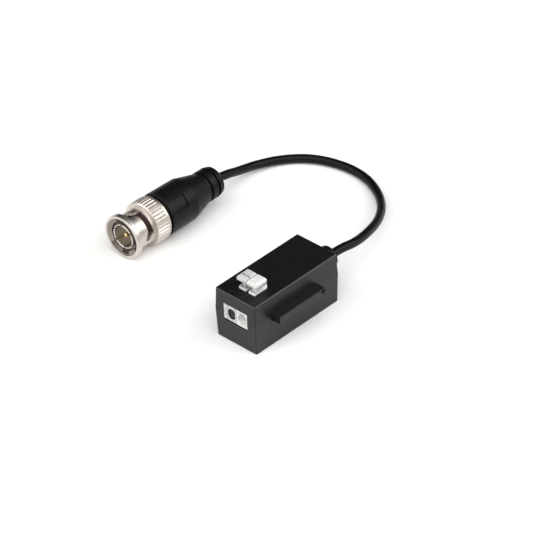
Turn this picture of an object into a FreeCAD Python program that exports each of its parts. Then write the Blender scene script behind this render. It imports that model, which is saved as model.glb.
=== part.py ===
import FreeCAD, Part
import math
import os
import re

import Sketcher

# A passive video balun: a small two-shell housing with a two-pole push-lever
# wire terminal at its front, and a short pigtail cord that ends in a bayonet
# coupling plug. Millimetres, +Z up, the housing's base on z = 0 with its centre
# at the origin, the wire terminal facing -Y and the cord leaving at +Y.

Vector = FreeCAD.Vector

SIZES = {
    # Housing: two drafted shells, widest at the parting plane between them
    "case_width": 16.0,
    "case_length": 35.0,
    "case_height": 17.0,
    "parting_height": 9.8,
    "draft_inset": 0.3,
    "case_wall": 1.3,
    "floor_thick": 1.3,
    "lid_roof": 1.4,
    "edge_round": 0.35,
    "tongue_height": 1.0,
    "tongue_thick": 0.6,
    "shell_gap": 0.05,
    # Side rail, split between the shells at the parting plane
    "rail_reach": 3.2,
    "rail_drop": 0.7,
    "rail_rise": 1.6,
    "rail_start": 6.8,
    "rail_length": 19.1,
    "rail_gusset": 0.8,
    "rail_round": 0.25,
    "stub_size": 1.0,
    "stub_reach": 0.5,
    # Circuit board on the two ledges of the base
    "board_level": 3.0,
    "board_thick": 1.6,
    "board_gap": 0.2,
    "ledge_width": 1.2,
    "rib_thick": 1.0,
    "rib_length": 1.2,
    "rib_inset": 0.4,
    "rib_front": 14.5,
    "rib_rear": 27.5,
    "seat_gap": 0.05,
    # Wire terminal: two moulded bodies side by side in the front window
    "terminal_depth": 9.85,
    "face_recess": 0.15,
    "end_wall": 1.1,
    "grey_width": 3.95,
    "white_width": 4.15,
    "snout_level": 3.1,
    "snout_height": 5.15,
    "snout_gap": 0.1,
    "sill_gap": 0.4,
    "window_round": 0.3,
    "wall_gap": 0.1,
    "roof_gap": 0.1,
    "wire_level": 5.65,
    "wire_bore": 2.5,
    "wire_depth": 4.05,
    "mouth_width": 2.9,
    "mouth_height": 3.5,
    "mouth_depth": 0.9,
    "mouth_round": 1.6,
    "chamber_width": 2.7,
    "chamber_length": 4.2,
    "chamber_roof": 0.5,
    "joint_groove": 0.15,
    # Levers, their stems and the collars that they dip into
    "grey_shift": 0.525,
    "white_shift": 0.075,
    "stem_width": 1.0,
    "stem_length": 2.7,
    "stem_start": 5.4,
    "stem_gap": 0.1,
    "foot_width": 1.4,
    "collar_rise": 0.95,
    "grey_collar": 2.85,
    "white_collar": 2.45,
    "collar_start": 4.4,
    "collar_length": 5.35,
    "collar_wall": 0.4,
    "collar_well": 0.55,
    "collar_round": 0.3,
    "collar_gap": 0.15,
    "head_width": 3.7,
    "head_length": 4.95,
    "head_thick": 1.35,
    "head_start": 4.25,
    "head_level": 2.7,
    "grey_lean": -0.3,
    "white_lean": 0.0,
    "head_nose": 0.8,
    "head_round": 0.35,
    "neck_width": 2.0,
    "neck_waist": 1.25,
    "neck_length": 4.2,
    "neck_drop": 0.5,
    "neck_height": 1.2,
    "driver_slot": 0.4,
    "driver_depth": 0.4,
    "driver_start": 6.2,
    "driver_end": 0.75,
    # Contact bars and clamp springs inside the terminal bodies
    "contact_thick": 0.5,
    "contact_width": 2.5,
    "pin_width": 0.9,
    "pin_hole": 1.3,
    "pin_below": 0.7,
    "spring_thick": 0.2,
    "spring_width": 2.2,
    "spring_height": 4.3,
    "spring_bend": 0.8,
    "press_gap": 0.15,
    # Parts on the board
    "core_outer": 8.0,
    "core_inner": 4.2,
    "core_height": 3.4,
    "core_round": 0.4,
    "turn_count": 14,
    "turn_wire": 0.35,
    "turn_gap": 0.08,
    "suppressor_body": 2.7,
    "suppressor_length": 5.0,
    "suppressor_back": 10.8,
    "resistor_body": 1.8,
    "resistor_length": 3.6,
    "resistor_back": 7.8,
    "lead_wire": 0.6,
    "lead_reach": 1.5,
    "lead_bend": 0.7,
    "lead_hole": 0.9,
    "part_bevel": 0.3,
    "core_wire": 1.1,
    "core_spread": 2.4,
    "core_run": 3.2,
    # Strain relief where the cord leaves the housing
    "gland_width": 7.0,
    "gland_length": 4.9,
    "gland_waist": 5.0,
    "gland_lip": 6.4,
    "gland_lip_thick": 1.1,
    "gland_round": 0.4,
    # Pigtail cord
    "cord_width": 2.8,
    "cord_share": 0.45,
    # Bayonet plug: its boot ends where the cord does
    "plug_across": -55.4,
    "plug_height": 7.3,
    "plug_tail": 31.1,
    "boot_length": 24.5,
    "boot_front": 7.1,
    "boot_waist": 6.95,
    "boot_straight": 10.9,
    "boot_cone": 7.1,
    "boot_neck": 5.0,
    "boot_end": 4.75,
    "boot_groove": 0.95,
    "boot_groove_deep": 0.6,
    "boot_rib": 2.05,
    "boot_collar": 0.5,
    "boot_round": 0.8,
    "boot_lip": 0.25,
    "pad_start": 2.8,
    "pad_length": 4.5,
    "pad_arc": 36.0,
    "pad_angle": 40.0,
    "pad_deep": 0.3,
    # Coupling ring, from its mouth to its knurled grip
    "ring_length": 14.0,
    "ring_gap": 1.0,
    "flange_radius": 7.0,
    "flange_length": 2.0,
    "flange_round": 0.25,
    "mouth_bore": 4.9,
    "mouth_cone": 1.3,
    "mouth_cone_deep": 0.8,
    "sleeve_radius": 5.8,
    "sleeve_length": 6.4,
    "shoulder_radius": 6.9,
    "shoulder_rise": 0.15,
    "grip_radius": 7.25,
    "grip_start": 0.5,
    "grip_length": 4.1,
    "grip_flutes": 40,
    "flute_deep": 0.25,
    "flute_width": 0.6,
    "rim_radius": 7.15,
    "rim_round": 0.3,
    "cavity_radius": 6.2,
    "cavity_start": 1.0,
    "groove_radius": 6.55,
    "groove_length": 0.6,
    "groove_start": 4.4,
    # Bayonet slots: axial entry, ramp, long pull and detent
    "slot_width": 2.0,
    "slot_entry": 4.1,
    "slot_rear": 6.4,
    "slot_pull": 0.3,
    "slot_rise": 1.2,
    "slot_angle": 96.0,
    "slot_turn": 101.0,
    "slot_ramp": 18.0,
    "slot_detent": 14.0,
    "lead_in_radius": 5.55,
    "lead_in_width": 2.1,
    # Plug body and what it carries
    "body_front": 0.2,
    "body_nose": 4.8,
    "body_flange": 6.1,
    "body_flange_thick": 0.85,
    "ring_stop": 0.15,
    "body_barrel": 5.2,
    "body_length": 11.8,
    "stem_radius": 1.9,
    "stem_reach": 8.0,
    "cable_bore": 1.0,
    "insulator_bore": 3.6,
    "insulator_depth": 7.3,
    "contact_depth": 1.4,
    "contact_radius": 4.05,
    "contact_wall": 0.45,
    "contact_front": 0.45,
    "contact_slots": 6,
    "contact_slot_width": 0.55,
    "contact_slot_length": 5.6,
    "contact_slot_angle": 36.5,
    "contact_edge": 0.15,
    "insulator_front": 5.8,
    "pin_radius": 0.675,
    "pin_front": 1.45,
    "pin_barrel": 0.95,
    "pin_barrel_length": 4.0,
    "pin_nose": 0.4,
    "seal_thick": 1.9,
    "ferrule_wall": 0.5,
    "ferrule_gap": 0.1,
    "boot_gap": 0.05,
    "running_gap": 0.05,
    "wave_height": 1.9,
    "wave_thick": 0.3,
    "wave_count": 3,
    "wave_inner": 5.35,
    "washer_thick": 0.35,
    "keeper_thick": 0.5,
}

# Route of the cord's centre line, from the strain relief to the plug's boot
CORD_ROUTE = [
    (0.0, 22.4, 9.8),
    (0.0, 27.0, 9.8),
    (0.2, 33.5, 8.6),
    (-1.9, 41.7, 7.1),
    (-5.7, 50.3, 5.0),
    (-11.7, 58.5, 3.1),
    (-19.7, 64.9, 1.8),
    (-28.6, 68.5, 1.45),
    (-38.2, 68.2, 1.45),
    (-47.2, 64.8, 1.45),
    (-53.6, 58.3, 1.45),
    (-56.6, 50.4, 2.2),
    (-56.0, 42.0, 4.5),
    (-55.4, 36.2, 6.65),
    (-55.4, 31.1, 7.3),
]

doc = FreeCAD.newDocument("video_balun")
sheet = doc.addObject("Spreadsheet::Sheet", "Sizes")
for row, (alias, number) in enumerate(SIZES.items(), start=1):
    sheet.set(f"A{row}", alias)
    sheet.set(f"B{row}", str(number))
    sheet.setAlias(f"B{row}", alias)
doc.recompute()

# Places that several pieces share, as formulas of the sizes
FRONT = "(-case_length / 2)"
REAR = "(case_length / 2)"
BOARD_TOP = "(board_level + board_thick)"
ROOF = "(case_height - lid_roof)"
INNER_WIDTH = "(case_width / 2 - case_wall)"
INNER_LENGTH = "(case_length / 2 - case_wall)"
BASE_DRAFT = "-atan(draft_inset / parting_height)"
LID_DRAFT = "-atan(draft_inset / (case_height - parting_height))"
BOARD_INSET = "(draft_inset * (1 - board_level / parting_height) + board_gap)"
BOARD_HALF_WIDTH = f"({INNER_WIDTH} - {BOARD_INSET})"
BOARD_HALF_LENGTH = f"({INNER_LENGTH} - {BOARD_INSET})"

TERMINAL_LEFT = "(-(end_wall + grey_width + white_width) / 2)"
TERMINAL_SPLIT = f"({TERMINAL_LEFT} + end_wall + grey_width)"
TERMINAL_RIGHT = f"({TERMINAL_SPLIT} + white_width)"
TERMINAL_FACE = f"({FRONT} + face_recess)"
TERMINAL_BACK = f"({TERMINAL_FACE} + terminal_depth)"
TERMINAL_TOP = f"({ROOF} - roof_gap)"
CORE_MIDDLE = f"(({TERMINAL_BACK} + {REAR} - suppressor_back - suppressor_body / 2) / 2)"
BLOCK_FRONT = f"({FRONT} + case_wall + draft_inset + wall_gap)"
SNOUT_LOW = f"({BOARD_TOP} + snout_level)"
SNOUT_HIGH = f"({SNOUT_LOW} + snout_height)"
WIRE_HEIGHT = f"({BOARD_TOP} + wire_level)"
CHAMBER_FRONT = f"({TERMINAL_FACE} + mouth_depth + wire_depth)"
CHAMBER_BACK = f"({CHAMBER_FRONT} + chamber_length)"
CHAMBER_TOP = f"({TERMINAL_TOP} - chamber_roof)"
COLLAR_TOP = "(case_height + collar_rise)"
WELL_FLOOR = f"({COLLAR_TOP} - collar_well)"
HEAD_LOW = "(case_height + head_level)"
NECK_LOW = f"({HEAD_LOW} - neck_height)"
CONTACT_TOP = f"({WIRE_HEIGHT} - wire_bore / 2)"
CONTACT_BACK = f"({CHAMBER_BACK} - seat_gap)"
SPRING_TOP = f"({CONTACT_TOP} + spring_height)"
FOOT_LOW = f"({SPRING_TOP} + press_gap)"
FOOT_TOP = f"({CHAMBER_TOP} - seat_gap)"

POLE_MIDDLE = {
    "grey": f"({TERMINAL_SPLIT} - grey_width / 2)",
    "white": f"({TERMINAL_SPLIT} + white_width / 2)",
}
POLE_EDGES = {
    "grey": (TERMINAL_LEFT, TERMINAL_SPLIT),
    "white": (TERMINAL_SPLIT, TERMINAL_RIGHT),
}

BOOT_MOUTH = "(plug_tail - boot_length)"
RING_FRONT = f"({BOOT_MOUTH} - ring_gap - ring_length)"
RING_REAR = f"({BOOT_MOUTH} - ring_gap)"
FLANGE_BACK = f"({RING_FRONT} + flange_length)"
SLEEVE_END = f"({FLANGE_BACK} + sleeve_length)"
CAVITY_FRONT = f"({SLEEVE_END} + cavity_start)"
GROOVE_FRONT = f"({SLEEVE_END} + groove_start)"
BODY_FRONT = f"({SLEEVE_END} + body_front)"
BODY_STOP = f"({CAVITY_FRONT} + ring_stop)"
BODY_STOP_BACK = f"({BODY_STOP} + body_flange_thick)"
BODY_BACK = f"({BODY_FRONT} + body_length)"
WAVE_BACK = f"({BODY_STOP_BACK} + seat_gap + wave_height)"
WASHER_BACK = f"({WAVE_BACK} + seat_gap + washer_thick)"


def size(name):
    """One size of the sheet, as a number."""
    return float(sheet.get(name))


def bound(formula):
    """A formula of size names as an expression on the sheet's cells."""
    return re.sub(
        r"[a-z_]+",
        lambda word: "Sizes." + word.group() if word.group() in SIZES else word.group(),
        formula,
    )


def new_body(name, at=("0", "0", "0")):
    """A body with its label and a place bound to the sheet."""
    body = doc.addObject("PartDesign::Body", name)
    body.Label = name
    for letter, formula in zip("xyz", at):
        body.setExpression(f"Placement.Base.{letter}", bound(formula))
    return body


def origin_part(body, role):
    """The plane or axis of the body's own origin that has this role."""
    return next(part for part in body.Origin.OriginFeatures if part.Role == role)


def new_sketch(body, name, plane, level="0"):
    """A sketch on an origin plane of the body, moved out by level along its normal."""
    sketch = body.newObject("Sketcher::SketchObject", name)
    sketch.AttachmentSupport = [(origin_part(body, plane), "")]
    sketch.MapMode = "FlatFace"
    sketch.setExpression("AttachmentOffset.Base.z", bound(level))
    return sketch


def bind_point(sketch, line, end, across, up, start):
    """Ties one end point of a sketched edge to two formulas."""
    for kind, formula, guess in (
        ("DistanceX", across, start.x),
        ("DistanceY", up, start.y),
    ):
        index = sketch.addConstraint(Sketcher.Constraint(kind, -1, 1, line, end, guess))
        label = f"{kind}{index}"
        sketch.renameConstraint(index, label)
        sketch.setExpression(f"Constraints.{label}", bound(formula))


def add_polygon(sketch, corners):
    """A closed outline whose corners are pairs of formulas."""
    first = sketch.GeometryCount
    count = len(corners)
    ring = [
        Vector(math.cos(2 * math.pi * k / count), math.sin(2 * math.pi * k / count), 0)
        for k in range(count)
    ]
    for k in range(count):
        sketch.addGeometry(Part.LineSegment(ring[k], ring[(k + 1) % count]), False)
    for k in range(count):
        follower = first + (k + 1) % count
        sketch.addConstraint(Sketcher.Constraint("Coincident", first + k, 2, follower, 1))
    for k, (across, up) in enumerate(corners):
        bind_point(sketch, first + k, 1, across, up, ring[k])


def add_rectangle(sketch, left, right, low, high):
    """An upright rectangle between four formulas."""
    add_polygon(sketch, [(left, low), (right, low), (right, high), (left, high)])


def add_circle(sketch, across, up, diameter):
    """A circle whose centre and diameter are formulas."""
    index = sketch.GeometryCount
    sketch.addGeometry(Part.Circle(Vector(0, 0, 0), Vector(0, 0, 1), 1), False)
    bind_point(sketch, index, 3, across, up, Vector(0, 0, 0))
    ring = sketch.addConstraint(Sketcher.Constraint("Diameter", index, 2))
    label = f"Width{ring}"
    sketch.renameConstraint(ring, label)
    sketch.setExpression(f"Constraints.{label}", bound(diameter))


def extrude(body, kind, name, profile, length, taper, reverse):
    """A pad or pocket of the profile, its length bound to a formula."""
    feature = body.newObject(kind, name)
    feature.Profile = profile
    feature.setExpression("Length", bound(length))
    if taper:
        feature.setExpression("TaperAngle", bound(taper))
    feature.Reversed = reverse
    doc.recompute()
    return feature


def pad(body, name, profile, length, taper=None, reverse=False):
    """Adds the profile's prism to the body."""
    return extrude(body, "PartDesign::Pad", name, profile, length, taper, reverse)


def pocket(body, name, profile, length, taper=None, reverse=False):
    """Cuts the profile's prism out of the body, and makes sure that it cut."""
    before = body.Shape.Volume
    feature = extrude(body, "PartDesign::Pocket", name, profile, length, taper, reverse)
    if feature.Shape.Volume > before - 1e-4:
        raise ValueError(f"{body.Label}: {name} cuts nothing")
    return feature


def revolve(body, name, profile, axis="V_Axis"):
    """Turns the profile once round an axis of its own sketch."""
    feature = body.newObject("PartDesign::Revolution", name)
    feature.Profile = profile
    feature.ReferenceAxis = (profile, [axis])
    feature.Angle = 360
    doc.recompute()
    return feature


def repeat_round(body, name, features, axis, count):
    """Repeats features evenly round an axis of the body's origin."""
    pattern = body.newObject("PartDesign::PolarPattern", name)
    pattern.Originals = features
    pattern.Axis = (origin_part(body, axis), [""])
    pattern.Angle = 360
    pattern.setExpression("Occurrences", bound(count))
    body.Tip = pattern
    doc.recompute()
    return pattern


def round_edges(body, name, radius, chosen):
    """Rounds the edges of the body for which chosen(edge) is true."""
    base = body.Tip
    names = [
        f"Edge{k}" for k, edge in enumerate(base.Shape.Edges, start=1) if chosen(edge)
    ]
    feature = body.newObject("PartDesign::Fillet", name)
    feature.Base = (base, names)
    feature.setExpression("Radius", bound(radius))
    doc.recompute()
    if not names or feature.Shape.isNull():
        raise ValueError(f"{body.Label}: {name} rounds nothing")
    return feature


def near(number, target):
    """Whether two lengths agree to a hundredth of a millimetre."""
    return abs(number - target) < 0.01


def runs_along(edge, letter):
    """Whether a straight edge runs along X, Y or Z, draft aside."""
    if len(edge.Vertexes) != 2:
        return False
    span = edge.Vertexes[1].Point - edge.Vertexes[0].Point
    return abs(getattr(span, letter)) > 0.95 * edge.Length


def eased(radius, station, ease, front, steps=2):
    """Corners that round a turned outer edge; front means that it faces -Y."""
    corners = []
    for k in range(steps + 1):
        angle = math.pi / 2 * k / steps
        inward = round(1 - math.sin(angle), 4)
        along = round(1 - math.cos(angle), 4)
        if front:
            corners.append((f"{radius} - {inward} * {ease}", f"{station} + {along} * {ease}"))
        else:
            corners.append((f"{radius} - {inward} * {ease}", f"{station} - {along} * {ease}"))
    return corners if front else corners[::-1]


def turned(name, corners):
    """A body of the plug turned about the plug's axis from (radius, station) corners."""
    body = new_body(name, ("plug_across", "0", "plug_height"))
    section = new_sketch(body, f"{name}_section", "XY_Plane")
    add_polygon(section, corners)
    revolve(body, f"{name}_turning", section)
    return body


def shell_block(body, length, draft, reverse):
    """The drafted outer block of one shell, its outer edges rounded."""
    plan = new_sketch(body, "plan", "XY_Plane", "parting_height")
    add_rectangle(plan, "-case_width / 2", "case_width / 2", FRONT, REAR)
    block = pad(body, "block", plan, length, draft, reverse)
    seam = size("parting_height")
    round_edges(
        body,
        "outer_rounds",
        "edge_round",
        lambda edge: runs_along(edge, "z") or not near(edge.CenterOfMass.z, seam),
    )
    return block


def shell_hollow(body, depth, draft, reverse):
    """The drafted space inside one shell."""
    plan = new_sketch(body, "hollow_plan", "XY_Plane", "parting_height")
    add_rectangle(
        plan, f"-{INNER_WIDTH}", INNER_WIDTH, f"-{INNER_LENGTH}", INNER_LENGTH
    )
    pocket(body, "hollow", plan, depth, draft, reverse)


def shell_openings(body):
    """The front window for the terminal and the round hole for the strain relief."""
    window = new_sketch(body, "window_outline", "XZ_Plane", "case_length / 2 + case_wall")
    add_rectangle(
        window,
        f"{TERMINAL_LEFT} - snout_gap",
        f"{TERMINAL_RIGHT} + snout_gap",
        f"{SNOUT_LOW} - sill_gap",
        f"{SNOUT_HIGH} + snout_gap",
    )
    pocket(body, "window", window, "2 * case_wall + draft_inset + wall_gap")
    sill = size("board_level") + size("board_thick") + size("snout_level")
    head = sill + size("snout_height") + size("snout_gap")
    sill -= size("sill_gap")
    wall_back = -size("case_length") / 2 + size("case_wall")
    round_edges(
        body,
        "window_rounds",
        "window_round",
        lambda edge: runs_along(edge, "y")
        and edge.CenterOfMass.y < wall_back
        and (near(edge.CenterOfMass.z, sill) or near(edge.CenterOfMass.z, head)),
    )
    hole = new_sketch(body, "gland_outline", "XZ_Plane", "-(case_length / 2 - 2 * case_wall)")
    add_circle(hole, "0", "parting_height", "gland_waist + 2 * seat_gap")
    pocket(body, "gland_hole", hole, "3 * case_wall")


def side_rail(body, name, corners):
    """One half of the side rail, along the right wall."""
    rail = new_sketch(body, name, "XZ_Plane", f"-({FRONT} + rail_start + rail_length)")
    add_polygon(rail, corners)
    pad(body, f"{name}_run", rail, "rail_length")
    reach = size("case_width") / 2 + size("rail_reach")
    seam = size("parting_height")
    round_edges(
        body,
        f"{name}_rounds",
        "rail_round",
        lambda edge: runs_along(edge, "y")
        and near(edge.CenterOfMass.x, reach)
        and not near(edge.CenterOfMass.z, seam),
    )


def make_housing_base():
    """The lower shell: floor, walls, joint tongue, board ledges and lower rail."""
    body = new_body("housing_base")
    shell_block(body, "parting_height", BASE_DRAFT, True)
    rail_inside = "case_width / 2 - case_wall / 2"
    rail_low = "parting_height - rail_drop"
    side_rail(
        body,
        "lower_rail",
        [
            (rail_inside, f"{rail_low} - rail_gusset"),
            ("case_width / 2 + rail_gusset", rail_low),
            ("case_width / 2 + rail_reach", rail_low),
            ("case_width / 2 + rail_reach", "parting_height"),
            (rail_inside, "parting_height"),
        ],
    )
    shell_hollow(body, "parting_height - floor_thick", BASE_DRAFT, False)
    tongue = new_sketch(body, "tongue_outline", "XY_Plane", "parting_height")
    add_rectangle(
        tongue,
        f"-({INNER_WIDTH} + tongue_thick)",
        f"{INNER_WIDTH} + tongue_thick",
        f"-({INNER_LENGTH} + tongue_thick)",
        f"{INNER_LENGTH} + tongue_thick",
    )
    add_rectangle(
        tongue, f"-{INNER_WIDTH}", INNER_WIDTH, f"-{INNER_LENGTH}", INNER_LENGTH
    )
    pad(body, "tongue", tongue, "tongue_height")
    shell_openings(body)
    for side, sign in (("left", "-"), ("right", "")):
        ledge = new_sketch(body, f"ledge_{side}", "XY_Plane", "floor_thick")
        near_edge = f"{sign}({INNER_WIDTH} - ledge_width)"
        far_edge = f"{sign}{INNER_WIDTH}"
        add_rectangle(
            ledge,
            near_edge if side == "right" else far_edge,
            far_edge if side == "right" else near_edge,
            f"-({BOARD_HALF_LENGTH} - ledge_width)",
            f"{BOARD_HALF_LENGTH} - ledge_width",
        )
        pad(body, f"ledge_{side}_run", ledge, "board_level - floor_thick")
    return body


def make_housing_top():
    """The lid: roof, walls, joint rebate, collar openings, hold-down ribs and upper rail."""
    body = new_body("housing_top")
    shell_block(body, "case_height - parting_height", LID_DRAFT, False)
    rail_inside = "case_width / 2 - case_wall / 2"
    rail_outside = "case_width / 2 + rail_reach"
    rail_high = "parting_height + rail_rise"
    side_rail(
        body,
        "upper_rail",
        [
            (rail_inside, "parting_height"),
            (rail_outside, "parting_height"),
            (rail_outside, rail_high),
            (rail_inside, rail_high),
        ],
    )
    stub = new_sketch(body, "stub_outline", "YZ_Plane", f"{rail_outside} - rail_round")
    add_rectangle(
        stub,
        f"{FRONT} + rail_start + rail_length - stub_size",
        f"{FRONT} + rail_start + rail_length",
        "parting_height",
        "parting_height + stub_size",
    )
    pad(body, "rail_stub", stub, "stub_reach + rail_round")
    shell_hollow(body, f"{ROOF} - parting_height", LID_DRAFT, True)
    rebate = new_sketch(body, "rebate_outline", "XY_Plane", "parting_height")
    add_rectangle(
        rebate,
        f"-({INNER_WIDTH} + tongue_thick + shell_gap)",
        f"{INNER_WIDTH} + tongue_thick + shell_gap",
        f"-({INNER_LENGTH} + tongue_thick + shell_gap)",
        f"{INNER_LENGTH} + tongue_thick + shell_gap",
    )
    pocket(body, "rebate", rebate, "tongue_height + shell_gap", None, True)
    shell_openings(body)
    for pole in ("grey", "white"):
        opening = new_sketch(body, f"{pole}_opening", "XY_Plane", f"{ROOF} - lid_roof")
        half = f"({pole}_collar / 2 + collar_gap)"
        middle = f"{POLE_MIDDLE[pole]} + {pole}_shift"
        add_rectangle(
            opening,
            f"{middle} - {half}",
            f"{middle} + {half}",
            f"{FRONT} + collar_start - collar_gap",
            f"{FRONT} + collar_start + collar_length + collar_gap",
        )
        pocket(body, f"{pole}_cut", opening, "3 * lid_roof", None, True)
    rib_in = f"({INNER_WIDTH} - rib_inset - rib_thick)"
    rib_free = f"({INNER_WIDTH} - rib_inset)"
    rib_root = f"({INNER_WIDTH} + case_wall / 4)"
    rib_step = "parting_height + 2 * tongue_height"
    for side, sign in (("left", "-"), ("right", "")):
        for place in ("front", "rear"):
            rib = new_sketch(
                body,
                f"rib_{side}_{place}",
                "XZ_Plane",
                f"-({FRONT} + rib_{place} + rib_length)",
            )
            add_polygon(
                rib,
                [
                    (f"{sign}{rib_in}", f"{BOARD_TOP} + seat_gap"),
                    (f"{sign}{rib_free}", f"{BOARD_TOP} + seat_gap"),
                    (f"{sign}{rib_free}", rib_step),
                    (f"{sign}{rib_root}", rib_step),
                    (f"{sign}{rib_root}", f"{ROOF} + lid_roof / 4"),
                    (f"{sign}{rib_in}", f"{ROOF} + lid_roof / 4"),
                ],
            )
            pad(body, f"rib_{side}_{place}_run", rib, "rib_length")
    return body


def make_circuit_board():
    """The board on the ledges, drilled for every pin and lead."""
    body = new_body("circuit_board")
    plan = new_sketch(body, "board_plan", "XY_Plane", "board_level")
    add_rectangle(
        plan,
        f"-{BOARD_HALF_WIDTH}",
        BOARD_HALF_WIDTH,
        f"-{BOARD_HALF_LENGTH}",
        BOARD_HALF_LENGTH,
    )
    pad(body, "board", plan, "board_thick")
    holes = new_sketch(body, "hole_plan", "XY_Plane", BOARD_TOP)
    for pole in ("grey", "white"):
        add_circle(
            holes, POLE_MIDDLE[pole], f"{CONTACT_BACK} - contact_thick / 2", "pin_hole"
        )
    for part in ("suppressor", "resistor"):
        for sign in ("-", ""):
            add_circle(
                holes,
                f"{sign}({part}_length / 2 + lead_reach)",
                f"{REAR} - {part}_back",
                "lead_hole",
            )
    pocket(body, "holes", holes, "2 * board_thick")
    return body


def make_terminal_body(pole):
    """One moulded terminal body: snout, wire mouth, spring chamber and lever collar."""
    body = new_body(f"terminal_body_{pole}")
    left, right = POLE_EDGES[pole]
    middle = POLE_MIDDLE[pole]
    lever = f"({middle} + {pole}_shift)"
    side = new_sketch(body, "side_view", "YZ_Plane", left)
    add_polygon(
        side,
        [
            (TERMINAL_FACE, SNOUT_LOW),
            (BLOCK_FRONT, SNOUT_LOW),
            (BLOCK_FRONT, BOARD_TOP),
            (TERMINAL_BACK, BOARD_TOP),
            (TERMINAL_BACK, TERMINAL_TOP),
            (BLOCK_FRONT, TERMINAL_TOP),
            (BLOCK_FRONT, SNOUT_HIGH),
            (TERMINAL_FACE, SNOUT_HIGH),
        ],
    )
    pad(body, "moulding", side, f"{right} - {left}")
    collar = new_sketch(body, "collar_plan", "XY_Plane", TERMINAL_TOP)
    add_rectangle(
        collar,
        f"{lever} - {pole}_collar / 2",
        f"{lever} + {pole}_collar / 2",
        f"{FRONT} + collar_start",
        f"{FRONT} + collar_start + collar_length",
    )
    pad(body, "collar", collar, f"{COLLAR_TOP} - {TERMINAL_TOP}")
    high = size("case_height")
    round_edges(
        body,
        "collar_rounds",
        "collar_round",
        lambda edge: runs_along(edge, "z") and edge.BoundBox.ZMax > high,
    )
    well = new_sketch(body, "well_plan", "XY_Plane", COLLAR_TOP)
    add_rectangle(
        well,
        f"{lever} - {pole}_collar / 2 + collar_wall",
        f"{lever} + {pole}_collar / 2 - collar_wall",
        f"{FRONT} + collar_start + collar_wall",
        f"{FRONT} + collar_start + collar_length - collar_wall",
    )
    pocket(body, "well", well, "collar_well")
    slot = new_sketch(body, "stem_plan", "XY_Plane", COLLAR_TOP)
    add_rectangle(
        slot,
        f"{lever} - stem_width / 2 - stem_gap",
        f"{lever} + stem_width / 2 + stem_gap",
        f"{FRONT} + stem_start - stem_gap",
        f"{FRONT} + stem_start + stem_length + stem_gap",
    )
    pocket(body, "stem_slot", slot, f"{COLLAR_TOP} - {CHAMBER_TOP} + chamber_roof")
    chamber = new_sketch(body, "chamber_plan", "XY_Plane", BOARD_TOP)
    add_rectangle(
        chamber,
        f"{middle} - chamber_width / 2",
        f"{middle} + chamber_width / 2",
        CHAMBER_FRONT,
        CHAMBER_BACK,
    )
    pocket(body, "chamber", chamber, f"{CHAMBER_TOP} - {BOARD_TOP}", None, True)
    mouth = new_sketch(body, "mouth_outline", "XZ_Plane", f"-({TERMINAL_FACE})")
    add_rectangle(
        mouth,
        f"{middle} - mouth_width / 2",
        f"{middle} + mouth_width / 2",
        f"{WIRE_HEIGHT} - mouth_height / 2",
        f"{WIRE_HEIGHT} + mouth_height / 2",
    )
    pocket(body, "mouth", mouth, "mouth_depth")
    wire = size("board_level") + size("board_thick") + size("wire_level")
    face = -size("case_length") / 2 + size("face_recess") + size("mouth_depth")
    split = size("end_wall") + size("grey_width")
    split -= (size("end_wall") + size("grey_width") + size("white_width")) / 2
    half = size("grey_width") / -2 if pole == "grey" else size("white_width") / 2
    corner = split + half + size("mouth_width") / 2
    round_edges(
        body,
        "mouth_arch",
        "mouth_round",
        lambda edge: runs_along(edge, "y")
        and edge.BoundBox.YMax < face + 0.01
        and near(edge.CenterOfMass.x, corner)
        and edge.CenterOfMass.z > wire,
    )
    bore = new_sketch(body, "bore_outline", "XZ_Plane", f"-({TERMINAL_FACE})")
    add_circle(bore, middle, WIRE_HEIGHT, "wire_bore")
    pocket(body, "wire_hole", bore, "mouth_depth + wire_depth + chamber_length / 4")
    if pole == "grey":
        line = new_sketch(body, "end_wall_joint", "XZ_Plane", f"-({TERMINAL_FACE})")
        joint = f"({TERMINAL_LEFT} + end_wall)"
        add_rectangle(
            line,
            f"{joint} - joint_groove / 2",
            f"{joint} + joint_groove / 2",
            f"{SNOUT_LOW} - joint_groove",
            f"{SNOUT_HIGH} + joint_groove",
        )
        pocket(body, "end_wall_groove", line, "joint_groove")
    return body


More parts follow.
